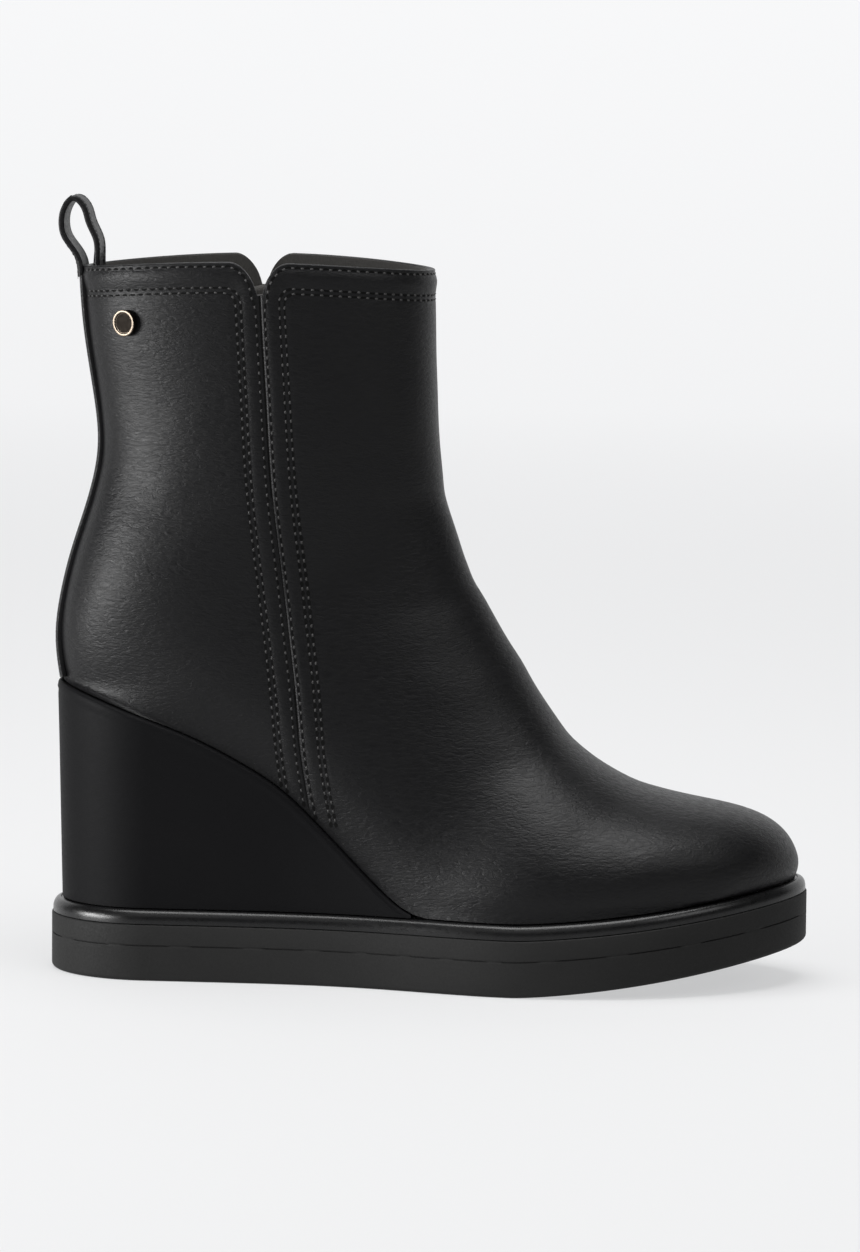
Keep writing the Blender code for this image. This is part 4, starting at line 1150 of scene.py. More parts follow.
@dataclass
class SeamPlan:
    """Where the seam, the notch and the rows of stitches lie, as lengths from the panels' edges."""

    form: BootForm
    edge_row: float = 0.00145
    double_rows: tuple[SeamRow, SeamRow] = (
        SeamRow(0.0059, 0.0078, 0.0046),
        SeamRow(0.0075, 0.0094, 0.0032),
    )
    groove_depth: float = 0.00055
    groove_width: float = 0.0006
    seam_puff: float = 0.00022
    collar_puff: float = 0.00038
    channel_depth: float = 0.00016
    channel_width: float = 0.00045
    rim_above_seat: float = 0.0009
    turns: Array = field(default_factory=lambda: np.linspace(0, math.pi, 500))

    def inside(self, away: Array, below: Array, row: SeamRow) -> Array:
        """How far inside a row's line points of a panel lie."""
        a, b = away - row.from_seam, below - row.below_collar
        into = row.corner - np.hypot(np.maximum(row.corner - a, 0), np.maximum(row.corner - b, 0))
        return into + np.maximum(np.minimum(a, b) - row.corner, 0)

    def relief(self, points: Array, side: Side) -> Array:
        """How far seam, puffs and stitch channels lift points along their normals."""
        x, z = points[:, 0], points[:, 2]
        away = np.abs(x - self.form.seam_x(z, side))
        below = self.form.collar_line(x) - z
        low = smooth_step(0.0, 0.012, z - self.form.seat_height(x))
        edge = self.inside(away, below, SeamRow(self.edge_row, self.edge_row, 0.0075))
        inner = self.inside(away, below, self.double_rows[0])
        outer = self.inside(away, below, self.double_rows[1])
        lift = -self.groove_depth * bump(away, self.groove_width)
        seam_share = bump(np.minimum(edge, 0.0) + np.maximum(inner, 0.0), 0.0012)
        lift = lift + self.seam_puff * seam_share * bump(edge - 0.0020, 0.0016)
        upper_part = bump(np.minimum(0, 0.0075 - below), 0.0012)
        lift = lift + self.collar_puff * upper_part * bump(edge - 0.0030, 0.0024)
        for gap in (edge, inner, outer):
            lift = lift - self.channel_depth * bump(gap, self.channel_width)
        return lift * (0.35 + 0.65 * low)

    def ring(self, number: float, side: Side) -> tuple[Array, Array]:
        """Turns of a section from front to rear and their distance along it from the seam."""
        points = self.form.skin(np.full(len(self.turns), number), self.turns, side)
        steps = np.linalg.norm(np.diff(points, axis=0), axis=1)
        lengths = np.concatenate([[0], np.cumsum(steps)])
        share = float(self.form.seam_share(np.array([number]), side)[0])
        seam_turn = float(self.form.turn_at(np.array(number), np.array(share)))
        return self.turns, np.interp(seam_turn, self.turns, lengths) - lengths

    def place(self, spots: Array, side: Side) -> tuple[Array, Array]:
        """Points and normals of spots given by distance from the seam and height.

        Args:
            spots: rows of distance, positive to the front, and Z.
            side: the side of the boot.

        Returns:
            Points and outward normals.
        """
        numbers, turns = np.zeros(len(spots)), np.zeros(len(spots))
        level = spots[:, 1] > self.form.level_heights[0] + 0.0005
        for i in np.nonzero(level)[0]:
            numbers[i] = float(self.form.section_at_height(spots[i, 1]))
            ring_turns, distance = self.ring(numbers[i], side)
            turns[i] = np.interp(-spots[i, 0], -distance, ring_turns)
        low = ~level
        if low.any():
            x = self.form.seam_x(spots[low, 1], side) + spots[low, 0]
            numbers[low], turns[low] = self.form.locate(x, spots[low, 1])
        return self.form.skin(numbers, turns, side), self.form.normal(numbers, turns, side)

    def down_seam(self, away: float, top: float, side: Side) -> Array:
        """Spots of a row's straight run beside the seam, from the seat up to a height."""
        heights = np.linspace(0.05, top, 160)
        x = self.form.seam_x(heights, side) + away
        above = heights > self.form.seat_height(x) + self.form.seat_gap + self.rim_above_seat
        return np.stack([np.full(int(above.sum()), away), heights[above]], 1)

    def along_collar(self, start: float, depth: float, front: bool, side: Side) -> Array:
        """Spots of a row's run under the collar, from beside the notch to the panel's far end."""
        number = self.form.rim_section - 0.9
        turns, distance = self.ring(number, side)
        end = distance[0] if front else distance[-1]
        if not front:
            end += self.backstay_reach
        away = np.linspace(start, end, 140)
        x = self.form.skin(np.full(140, number), np.interp(-away, -distance, turns), side)[:, 0]
        return np.stack([away, self.form.collar_line(x) - depth], 1)

    backstay_reach: float = 0.0098

    def row(self, row: SeamRow, front: bool, side: Side) -> Array:
        """Spots of a double row on the front or the rear panel."""
        sign = 1.0 if front else -1.0
        top = self.form.collar_height + 0.94 * self.form.collar_arch - row.below_collar
        rise = self.down_seam(sign * row.from_seam, top - row.corner, side)
        angle = np.linspace(0, math.pi / 2, 16)
        bend = np.stack([
            sign * (row.from_seam + row.corner * (1 - np.cos(angle))), top - row.corner * (1 - np.sin(angle)),
        ], 1)
        run = self.along_collar(sign * (row.from_seam + row.corner), row.below_collar, front, side)
        return np.concatenate([rise, bend, run])

    def edge(self, front: bool, side: Side) -> Array:
        """Spots of the row that follows a panel's edge at the collar, the notch and the seam."""
        sign = 1.0 if front else -1.0
        width = self.form.notch_front_width if front else self.form.notch_rear_width
        collar = self.form.collar_height + 0.94 * self.form.collar_arch
        bottom = collar - self.form.notch_depth
        half_floor = self.form.notch_floor / 2
        rise = self.down_seam(sign * self.edge_row, bottom, side)
        rise[:, 0] += sign * half_floor * smooth_step(bottom - 0.005, bottom, rise[:, 1])
        angle = np.linspace(0, math.pi / 2, 24)
        power = 2 / self.form.notch_roundness
        cosine, sine = np.cos(angle) ** power, np.sin(angle) ** power
        bend = np.stack([
            sign * (half_floor + width - (width - self.edge_row) * cosine),
            bottom + (self.form.notch_depth - self.edge_row) * sine,
        ], 1)
        run = self.along_collar(sign * (half_floor + width), self.edge_row, front, side)
        return np.concatenate([rise, bend, run])


@dataclass
class UpperLeather:
    """The hollow upper: outer leather, rounded collar rim and lining in one mesh."""

    form: BootForm
    finishes: Wardrobe
    plan: SeamPlan
    rear_columns: int = 26
    front_columns: int = 34
    foot_rows: int = 88
    heel_rows: int = 22
    heel_reach: float = 1.4
    shaft_rows: int = 52
    ease_reach: float = 0.8
    ease_width: float = 1.8
    ease_columns: int = 6
    beside_seam: tuple[float, ...] = (
        0.0, 0.00030, 0.00055, 0.0009, 0.0014, 0.0019, 0.0026, 0.0036, 0.0046, 0.0054, 0.0059, 0.0067, 0.0075,
        0.0083, 0.0095, 0.0115, 0.014,
    )
    depths: tuple[float, ...] = (
        0.0240, 0.0200, 0.0165, 0.0140, 0.0120, 0.0106, 0.0099, 0.0094, 0.0086, 0.0078, 0.0072, 0.0062, 0.0050,
        0.0038, 0.0028, 0.0021, 0.00145, 0.0010, 0.0006, 0.00028,
    )
    rim: tuple[tuple[float, float], ...] = (
        (0.00008, 0.00022), (0.0, 0.00065), (0.0, 0.00135), (0.00008, 0.00178),
    )
    creases: tuple[Crease, ...] = (
        Crease(((0.020, 0.128), (0.004, 0.118), (-0.012, 0.116)), 0.0042, -0.00055),
        Crease(((0.014, 0.141), (-0.002, 0.133), (-0.016, 0.130)), 0.0050, 0.00045),
        Crease(((0.010, 0.152), (-0.006, 0.147), (-0.018, 0.147)), 0.0045, -0.00040),
        Crease(((0.034, 0.100), (0.014, 0.092), (-0.002, 0.094)), 0.0060, 0.00045),
        Crease(((0.052, 0.080), (0.034, 0.070), (0.018, 0.068)), 0.0055, -0.00040),
        Crease(((0.070, 0.066), (0.056, 0.052), (0.044, 0.044)), 0.0060, -0.00035),
        Crease(((-0.094, 0.150), (-0.078, 0.146), (-0.062, 0.152)), 0.0070, -0.00050),
        Crease(((-0.098, 0.128), (-0.080, 0.120), (-0.060, 0.118)), 0.0080, 0.00040),
        Crease(((-0.100, 0.172), (-0.084, 0.168), (-0.066, 0.174)), 0.0075, 0.00035),
    )

    def columns(self, number: float, side: Side) -> tuple[Array, float]:
        """Turns of a row's columns from rear to front.

        Args:
            number: the row's section.
            side: the side of the boot.

        Returns:
            The turns, and how closely they follow the seam.
        """
        form = self.form
        fine = np.linspace(0, math.pi, 300)
        path = form.skin(np.full(300, number), fine, side)
        lengths = np.concatenate([[0], np.cumsum(np.linalg.norm(np.diff(path, axis=0), axis=1))])
        near_count = 2 * len(self.beside_seam) - 1
        count = self.rear_columns + near_count + self.front_columns
        even = np.interp(np.linspace(lengths[-1], 0, count), lengths, fine)
        length = float(form.curve["front_x"](number) - form.rear_point(np.array(number))[0])
        at_seam = float(form.seam_share(np.array([number]), side)[0])
        offsets = np.array([-o for o in self.beside_seam[:0:-1]] + list(self.beside_seam))
        shares = at_seam - offsets / length
        left = 1 - at_seam
        rear = at_seam + left * (1 - np.exp(-np.maximum(shares - at_seam, 0) / left))
        shares = np.where(offsets < 0, rear, shares)
        near = form.turn_at(np.full(len(shares), number), shares)
        near = np.minimum(near, math.pi - 1e-4 * np.arange(len(near), 0, -1))
        behind = np.linspace(math.pi, near[0], self.rear_columns + 1)[:-1]
        ahead = np.linspace(near[-1], 0, self.front_columns + 1)[1:]
        weight = float(smooth_step(9.5, 11.1, number))
        return (1 - weight) * even + weight * np.concatenate([behind, near, ahead]), weight

    def rows(self, side: Side) -> tuple[Array, Array, Array]:
        """Section numbers and turns of every spot, and each row's hold on the seam."""
        form = self.form
        last = form.heel_section
        heel_rows = last - self.heel_reach * (1 - np.sin(np.linspace(0, math.pi / 2, self.heel_rows)))
        fore_rows = np.linspace(0, last - self.heel_reach, self.foot_rows - self.heel_rows + 1)[:-1]
        foot = np.concatenate([fore_rows, heel_rows])
        shaft = np.linspace(form.heel_section, form.level_section, self.shaft_rows + 1)[1:]
        numbers, turns, weights = [], [], []
        for number in np.concatenate([foot, shaft]):
            row, weight = self.columns(float(number), side)
            turns.append(row)
            numbers.append(np.full(len(row), number))
            weights.append(weight)
        base = float(form.level_heights[0])
        top_turns = self.columns(form.rim_section, side)[0]
        rim_numbers = np.full(len(top_turns), form.rim_section)
        tops = form.collar_z(form.skin(rim_numbers, top_turns, side)[:, 0], side)
        samples = np.linspace(form.level_section, form.last_section, 9)
        table = np.array([self.columns(float(n), side)[0] for n in samples])
        for depth in self.depths + tuple(d for d, _ in self.rim):
            share = (self.depths[0] - depth) / self.depths[0]
            heights = np.maximum(tops - depth, base + 0.0004 + (tops - base) * share * 0.35)
            row_numbers = form.section_at_height(heights)
            columns = range(len(top_turns))
            turns.append(np.array([np.interp(row_numbers[i], samples, table[:, i]) for i in columns]))
            numbers.append(row_numbers)
            weights.append(1.0)
        return np.array(numbers), np.array(turns), np.array(weights)

    def soften(self, spots: Array, numbers: Array) -> Array:
        """Evens out the leather where it turns in above the heel.

        Args:
            spots: the outer spots, by row and column.
            numbers: their sections.

        Returns:
            The eased spots.
        """
        at = numbers[:, 0]
        near = bump(at[:, None] - at[None, :], self.ease_reach) * np.gradient(at)[None, :]
        near[:, at > self.form.level_section] = 0
        even = np.einsum("ij,jkl->ikl", near / np.maximum(near.sum(1), 1e-12)[:, None], spots)
        share = bump(at - self.form.heel_section, self.ease_width)[:, None]
        share = share * smooth_step(0, self.ease_columns, np.arange(spots.shape[1]))[None, :]
        return spots + share[..., None] * (even - spots)

    def face(self, numbers: Array, turns: Array, side: Side, inward: Array) -> Array:
        """Points of the upper with its creases and seams.

        Args:
            numbers: section numbers.
            turns: turns.
            side: the side of the boot.
            inward: how far inside the outer face each lies.

        Returns:
            The points.
        """
        flat, round_turns = numbers.ravel(), turns.ravel()
        inward = np.broadcast_to(inward, numbers.shape).ravel()
        points = self.form.skin(flat, round_turns, side)
        normals = self.form.normal(flat, round_turns, side)
        lift = self.plan.relief(points, side)
        for crease in self.creases:
            lift = lift + crease.relief(points, side)
        outer = points + normals * (lift * (1 - inward / self.form.upper_wall))[:, None]
        deep = inward > 0
        if deep.any():
            lining = self.form.skin(flat[deep], round_turns[deep], side, self.form.upper_wall)
            share = (inward[deep] / self.form.upper_wall)[:, None]
            outer[deep] = outer[deep] * (1 - share) + lining * share
        return outer.reshape(*numbers.shape, 3)

    def build(self) -> bpy.types.Object:
        """Makes the upper."""
        halves = []
        body = self.foot_rows + self.shaft_rows + len(self.depths)
        for side in Side:
            numbers, turns, weights = self.rows(side)
            inward = np.zeros((len(numbers), 1))
            inward[body:, 0] = [d for _, d in self.rim]
            outer = self.soften(self.face(numbers, turns, side, inward), numbers)
            wall = np.full((body, 1), self.form.upper_wall)
            inner = self.face(numbers[:body][::-1], turns[:body][::-1], side, wall)
            halves.append((np.concatenate([outer, inner]), weights, numbers))
        total = len(halves[0][0])
        width = halves[0][0].shape[1]
        grid = np.concatenate([halves[0][0], halves[1][0][:, ::-1][:, 1:]], axis=1)
        across = grid.shape[1]
        faces, slots = [], []
        closed = [halves[0][2][r, 0] >= self.form.heel_section - 1e-9 for r in range(len(halves[0][2]))]
        closed += closed[:body][::-1]
        seam = self.rear_columns + len(self.beside_seam) - 1
        # Painted shade: outer faces right along the side seam take the near-black material, a dark strip for the
        # shade in the open seam.
        dark = {seam - 1, seam, across - 1 - seam - 1, across - 1 - seam}
        on_seam = np.concatenate([
            np.abs(half[0][:, :, 0] - self.form.seam_x(half[0][:, :, 2], side)) < 0.00034
            for side, half in zip(Side, halves)
        ], axis=1)
        on_seam = np.concatenate([on_seam[:, :width], on_seam[:, width:][:, ::-1][:, 1:]], axis=1)
        for r in range(total - 1):
            for c in range(across - 1):
                face = []
                for row, col in ((r, c), (r, c + 1), (r + 1, c + 1), (r + 1, c)):
                    index = row * across + (0 if closed[row] and col == across - 1 else col)
                    if index not in face:
                        face.append(index)
                if len(face) > 2:
                    faces.append(tuple(face))
                    outer = r < body - 1
                    # Faces of painted shade along the open seam.
                    seam_shade = outer and c in dark and on_seam[r, c] and on_seam[r + 1, c + 1]
                    lining = r >= body + len(self.rim)
                    slots.append(1 if lining else (2 if seam_shade else 0))
        foot = sum(1 for c in closed[: self.foot_rows + self.shaft_rows] if not c)
        self.close_foot(faces, slots, foot, total, across)
        leather = Bench.sheet(
            "upper_leather", grid.reshape(-1, 3), faces,
            [self.finishes.leather, self.finishes.lining, self.finishes.hole_shade], 55.0, slots,
        )
        LOG.info("upper: %d columns, %d rows", width, total)
        return Bench.seat(leather, Slot.UPPER, ["upper"])

    @staticmethod
    def close_foot(faces: list[tuple[int, ...]], slots: list[int], foot: int, total: int, across: int) -> None:
        """Joins outer face and lining along the open foot.

        Args:
            faces: the faces so far, which grow.
            slots: their materials, which grow.
            foot: number of rows that are open at the seat.
            total: number of rows in all.
            across: number of columns.
        """
        last = total - 1

        def join(a: tuple[int, int], b: tuple[int, int], c: tuple[int, int], d: tuple[int, int]) -> None:
            """Adds one face of the rim."""
            face = []
            for row, col in (a, b, c, d):
                index = row * across + col
                if index not in face:
                    face.append(index)
            faces.append(tuple(face))
            slots.append(0)

        for c in range(across - 1):
            join((0, c + 1), (0, c), (last, c), (last, c + 1))
        for r in range(foot):
            for col in (0, across - 1):
                low = (r, col) if r < foot else (r, 0)
                high = (r + 1, col if r + 1 < foot else 0)
                join(low, high, (last - high[0], high[1]), (last - low[0], low[1]))


@dataclass
class StitchLine:
    """Stitches along rows, and flat dark discs of painted shade for the dents they sit in, all in two meshes."""

    finishes: Wardrobe
    pitch: float = 0.0029
    length: float = 0.00105
    width: float = 0.00058
    thickness: float = 0.00036
    # Size and lift of the flat dark discs of painted shade that stand for the stitch dents.
    shade_disc_length: float = 0.00085
    shade_disc_width: float = 0.00060
    lift: float = 0.00006
    shade_disc_lift: float = 0.00005
    reach: float = 0.004
    threads: list[Matrix] = field(default_factory=list)
    shade_discs: list[Matrix] = field(default_factory=list)

    def add(self, points: Array, normals: Array, under: bpy.types.Object) -> None:
        """Adds a row, laid on a finished piece.

        Args:
            points: points along the row.
            normals: outward normals there.
            under: the piece.
        """
        mesh = under.data
        corners = [v.co for v in mesh.vertices]
        tree = BVHTree.FromPolygons(corners, [tuple(p.vertices) for p in mesh.polygons])
        laid = []
        for point, normal in zip(points, normals):
            hit = tree.ray_cast(Vector(point + normal * self.reach), Vector(-normal), 2 * self.reach)[0]
            if hit is not None:
                laid.append([*hit, *normal])
        table = np.array(laid)
        points = table[:, :3]
        steps = np.linalg.norm(np.diff(points, axis=0), axis=1)
        keep = np.concatenate([[True], steps > 1e-7])
        even = resample(table[keep], self.pitch / 4)
        count = len(even) // 4
        for i in range(count):
            here = even[4 * i + 2] if 4 * i + 2 < len(even) else even[-1]
            before, after = even[4 * i + 1], even[min(4 * i + 3, len(even) - 1)]
            self.threads.append(self.spot(here, after[:3] - before[:3], self.lift))
            # Before each stitch, a flat dark disc of painted shade stands for its shadowed dent.
            self.shade_discs.append(self.spot(even[4 * i], even[4 * i + 1][:3] - even[4 * i][:3], self.shade_disc_lift))

    @staticmethod
    def spot(row: Array, along: Array, lift: float) -> Matrix:
        """The frame of a stitch: X along the row, Z out of the surface."""
        out = Vector(row[3:6]).normalized()
        run = Vector(along)
        run = (run - out * run.dot(out)).normalized()
        across = out.cross(run)
        frame_axes = Matrix((run, across, out)).transposed().to_4x4()
        return Matrix.Translation(Vector(row[:3]) + out * lift) @ frame_axes

    def thread_template(self) -> bpy.types.Mesh:
        """One stitch: a low bar with tapered, sunken ends."""
        Bench.clear()
        bpy.ops.mesh.primitive_cylinder_add(vertices=8, radius=0.5, depth=1.0, rotation=(0, math.pi / 2, 0))
        bar = bpy.context.active_object
        bpy.ops.object.transform_apply(rotation=True)
        bpy.ops.object.mode_set(mode="EDIT")
        bpy.ops.mesh.select_all(action="SELECT")
        bpy.ops.transform.resize(value=(self.length * 0.62, self.width, self.thickness))
        bpy.ops.object.mode_set(mode="OBJECT")
        mesh = bmesh.new()
        mesh.from_mesh(bar.data)
        caps = [f for f in mesh.faces if len(f.verts) > 4]
        for cap in caps:
            sign = 1 if cap.calc_center_median().x > 0 else -1
            bmesh.ops.inset_individual(mesh, faces=[cap], thickness=self.width * 0.2)
            shift = (sign * self.length * 0.19, 0, -self.thickness * 0.4)
            bmesh.ops.translate(mesh, verts=cap.verts, vec=shift)
        mesh.to_mesh(bar.data)
        mesh.free()
        template = bar.data
        bpy.data.objects.remove(bar)
        return template

    def shade_disc_template(self) -> bpy.types.Mesh:
        """One disc of painted shade: a flat dark disc that stands for the shade in a stitch's dent."""
        Bench.clear()
        bpy.ops.mesh.primitive_circle_add(vertices=10, radius=1.0, fill_type="NGON")
        disc = bpy.context.active_object
        bpy.ops.object.mode_set(mode="EDIT")
        bpy.ops.mesh.select_all(action="SELECT")
        bpy.ops.transform.resize(value=(self.shade_disc_length, self.shade_disc_width, 1.0))
        bpy.ops.object.mode_set(mode="OBJECT")
        template = disc.data
        bpy.data.objects.remove(disc)
        return template

    @staticmethod
    def spread(
        name: str, template: bpy.types.Mesh, places: Sequence[Matrix], finish: bpy.types.Material
    ) -> bpy.types.Object:
        """Repeats a template at many places in one mesh.

        Args:
            name: the piece's name.
            template: the mesh to repeat.
            places: where it goes.
            finish: its material.

        Returns:
            The object.
        """
        corners = np.array([[*v.co, 1.0] for v in template.vertices])
        polygons = [tuple(p.vertices) for p in template.polygons]
        points, faces = [], []
        for i, place in enumerate(places):
            points.append((corners @ np.array(place).T)[:, :3])
            faces += [tuple(v + i * len(corners) for v in polygon) for polygon in polygons]
        mesh = bpy.data.meshes.new(name)
        mesh.from_pydata(np.concatenate(points).tolist(), [], faces)
        mesh.materials.append(finish)
        obj = bpy.data.objects.new(name, mesh)
        bpy.context.scene.collection.objects.link(obj)
        Bench.take(obj)
        bpy.ops.object.shade_smooth_by_angle(angle=math.radians(70))
        bpy.data.meshes.remove(template)
        return obj

    def build(self) -> tuple[bpy.types.Object, bpy.types.Object]:
        """Makes the threads and the discs of painted shade."""
        thread = self.spread("stitches", self.thread_template(), self.threads, self.finishes.thread)
        # The dark discs are painted shade for the shadowed stitch dents.
        shade_discs = self.spread("painted_shade_discs", self.shade_disc_template(), self.shade_discs, self.finishes.hole_shade)
        return Bench.seat(thread, Slot.UPPER), Bench.seat(shade_discs, Slot.UPPER)


@dataclass
class Backstay:
    """The strap over the back seam, with a row of stitches inside each edge."""

    form: BootForm
    finishes: Wardrobe
    width: float = 0.017
    thickness: float = 0.0011
    edge_round: float = 0.0005
    below_collar: float = 0.0030
    row_inset: float = 0.0016
    rows: int = 90

    def spot(self, number: float, y: float) -> tuple[Array, Array]:
        """The upper's point and normal at a distance from the back line."""
        side = Side.LATERAL if y < 0 else Side.MEDIAL
        rear_x = self.form.rear_point(np.array(number))[0]
        full = self.form.side_width[side](rear_x) - self.form.feather_in(rear_x)
        full = full + self.form.upper_swell * self.form.curve["swell"](number)
        turn = math.pi - np.arcsin((abs(y) / full) ** (self.form.curve["close"](number) / 2))
        at = np.array([number]), np.array([float(turn)])
        return self.form.skin(*at, side)[0], self.form.normal(*at, side)[0]

    def numbers(self) -> Array:
        """Sections of the strap's rows from its foot to its top."""
        top = float(self.form.section_at_height(np.array(self.form.collar_height - self.below_collar)))
        return np.linspace(self.form.heel_section + 0.02, top, self.rows)

    def build(self) -> bpy.types.Object:
        """Makes the strap."""
        half = self.width / 2
        profile = [(-half, -0.45), (-half, 0.55)]
        profile += [(-half + 0.35 * self.edge_round, 0.88), (-half + self.edge_round, 1.0)]
        flat = half - self.edge_round
        profile += [(flat * share, 1.0) for share in (-0.88, -0.8, -0.6, -0.3, 0.0, 0.3, 0.6, 0.8, 0.88)]
        profile += [(-y, lift) for y, lift in profile[3::-1]]
        profile += [(half * share, -0.45) for share in (0.5, 0.0, -0.5)]
        points, faces = [], []
        numbers = self.numbers()
        for number in numbers:
            for y, lift in profile:
                point, normal = self.spot(float(number), y)
                gap = self.form.clearance + lift * self.thickness
                row = bump(abs(abs(y) - (half - self.row_inset)), 0.0006) * lift
                points.append(point + normal * (gap - 0.00012 * row))
        size = len(profile)
        for r in range(len(numbers) - 1):
            for c in range(size):
                d = (c + 1) % size
                faces.append((r * size + c, r * size + d, (r + 1) * size + d, (r + 1) * size + c))
        faces += [tuple(range(size)), tuple(range((len(numbers) - 1) * size, len(numbers) * size))]
        strap = Bench.sheet("backstay_strap", points, faces, [self.finishes.leather], 50)
        return Bench.seat(strap, Slot.UPPER, ["backstay"])

    def stitch(self, stitches: StitchLine, strap: bpy.types.Object) -> None:
        """Adds the rows of stitches inside both edges."""
        for y in (-self.width / 2 + self.row_inset, self.width / 2 - self.row_inset):
            spots = [self.spot(float(n), y) for n in self.numbers()]
            points = np.array([p + n * (self.form.clearance + self.thickness) for p, n in spots])
            stitches.add(points, np.array([n for _, n in spots]), strap)


@dataclass
class PullLoop:
    """The strap that stands as a loop over the back of the collar."""

    form: BootForm
    finishes: Wardrobe
    width: float = 0.014
    thickness: float = 0.0018
    height: float = 0.0215
    gap: float = 0.0080
    lean: float = 0.0035
    tail: float = 0.014
    curve: float = 0.085
    edge_round: float = 0.0006
    row_inset: float = 0.0016
    steps: int = 150

    def path(self) -> Array:
        """Middle line in the XZ plane, from outside the collar, over it and down inside."""
        form, strap = self.form, self.thickness
        wall_out = float(form.rear_point(np.array(form.rim_section))[0])
        outer_leg = wall_out - form.clearance - strap / 2
        inner_leg = wall_out + form.upper_wall + 4 * form.clearance + strap / 2
        rim = float(form.collar_z(np.array(wall_out), Side.LATERAL)) + form.clearance
        middle = inner_leg - self.gap / 2 - strap / 2 - self.lean / 3
        crown = rim + self.height - strap / 2
        outer = self.gap / 2 + 0.1 * self.lean
        guides = np.array([
            (outer_leg + 0.0002, rim - 2.1 * strap),
            (outer_leg, rim - 0.4 * strap),
            (outer_leg - 0.35 * self.lean, rim + 0.16 * self.height),
            (middle - 0.84 * outer, rim + 0.42 * self.height),
            (middle - 1.00 * outer, rim + 0.66 * self.height),
            (middle - 0.80 * outer, crown - 0.14 * self.height),
            (middle - 0.15 * outer, crown),
            (middle + 0.55 * outer, crown - 0.11 * self.height),
            (middle + 0.94 * outer, rim + 0.62 * self.height),
            (inner_leg + 0.0003, rim + 0.36 * self.height),
            (inner_leg, rim + 0.10 * self.height),
            (inner_leg, rim - 0.3 * self.tail),
            (inner_leg + 0.0006, rim - self.tail),
        ])
        lengths = np.concatenate([[0], np.cumsum(np.hypot(*np.diff(guides, axis=0).T))])
        fine = np.linspace(0, lengths[-1], self.steps)
        return np.stack([natural_spline(lengths, guides[:, i])(fine) for i in (0, 1)], 1)

    def frames(self) -> tuple[Array, Array]:
        """The path and its normals, which point out of the loop."""
        line = self.path()
        run = np.gradient(line, axis=0)
        run = run / np.linalg.norm(run, axis=1, keepdims=True)
        return line, np.stack([-run[:, 1], run[:, 0]], 1)

    def point(self, at: Array, out: Array, y: float, lift: float) -> Array:
        """A point of the strap at a distance from its middle and above its middle line."""
        spread = 1 - smooth_step(self.form.collar_height, self.form.collar_height + self.height / 2, at[1])
        x = at[0] + (y / self.form.heel_width) ** 2 * self.curve * float(spread)
        return np.array([x + out[0] * lift, y, at[1] + out[1] * lift])

    def build(self) -> bpy.types.Object:
        """Makes the loop."""
        half, thick, soft = self.width / 2, self.thickness / 2, self.edge_round
        corner = [
            (half - soft * (1 - math.cos(a)), thick - soft * (1 - math.sin(a)))
            for a in np.linspace(0, math.pi / 2, 5)
        ]
        flat = [(half * share, thick) for share in (0.8, 0.75, 0.5, 0.25, 0.0, -0.25, -0.5, -0.75, -0.8)]
        top = corner + flat + [(-y, z) for y, z in corner[::-1]]
        profile = top + [(-y, -z) for y, z in top]
        line, outs = self.frames()
        points, faces = [], []
        for at, out in zip(line, outs):
            for y, lift in profile:
                row = bump(abs(abs(y) - (half - self.row_inset)), 0.0006) * (abs(lift) > 0.9 * thick)
                points.append(self.point(at, out, y, lift - math.copysign(0.0001, lift) * row))
        size = len(profile)
        for r in range(len(line) - 1):
            for c in range(size):
                d = (c + 1) % size
                faces.append((r * size + c, r * size + d, (r + 1) * size + d, (r + 1) * size + c))
        faces += [tuple(range(size)), tuple(range((len(line) - 1) * size, len(line) * size))]
        strap = Bench.sheet("pull_loop_strap", points, faces, [self.finishes.leather], 50)
        return Bench.seat(strap, Slot.UPPER, ["pull_loop"])

    def stitch(self, stitches: StitchLine, strap: bpy.types.Object) -> None:
        """Adds the rows of stitches along both edges, on the loop's outside."""
        line, outs = self.frames()
        for y in (-self.width / 2 + self.row_inset, self.width / 2 - self.row_inset):
            points = np.array([self.point(at, out, y, self.thickness / 2) for at, out in zip(line, outs)])
            normals = np.stack([outs[:, 0], np.zeros(len(outs)), outs[:, 1]], 1)
            stitches.add(points, normals, strap)


@dataclass
class SideGusset:
    """The strip behind a side seam, whose top fills the bottom of the notch."""

    form: BootForm
    finishes: Wardrobe
    plan: SeamPlan
    side: Side
    width: float = 0.012
    length: float = 0.055
    thickness: float = 0.0009
    behind: float = 0.0006
    top_slope: float = 0.25
    rows: int = 30
    columns: int = 9

    def build(self) -> bpy.types.Object:
        """Makes the strip."""
        form, wide = self.form, self.columns
        top = form.collar_height - form.notch_depth + form.collar_arch
        across = np.linspace(-0.5, 0.5, wide) * self.width
        shares = np.linspace(0, 1, self.rows)
        spots = np.array([(o, top + self.top_slope * o - s * self.length) for s in shares for o in across])
        points, normals = self.plan.place(spots, self.side)
        points = points - normals * (form.upper_wall + form.clearance + self.behind)
        faces = [
            (r * wide + c, r * wide + c + 1, (r + 1) * wide + c + 1, (r + 1) * wide + c)
            for r in range(self.rows - 1) for c in range(wide - 1)
        ]
        name = "gusset_strip_" + self.side.name.lower()
        strip = Bench.sheet(name, points, faces, [self.finishes.lining], 50)
        middle = strip.data.polygons[len(faces) // 2]
        if middle.normal.y * self.side.value < 0:
            strip.data.flip_normals()
        Bench.apply(strip, "SOLIDIFY", thickness=self.thickness, offset=-1.0)
        return Bench.seat(strip, Slot.LINING, ["side_gusset_" + self.side.name.lower()])


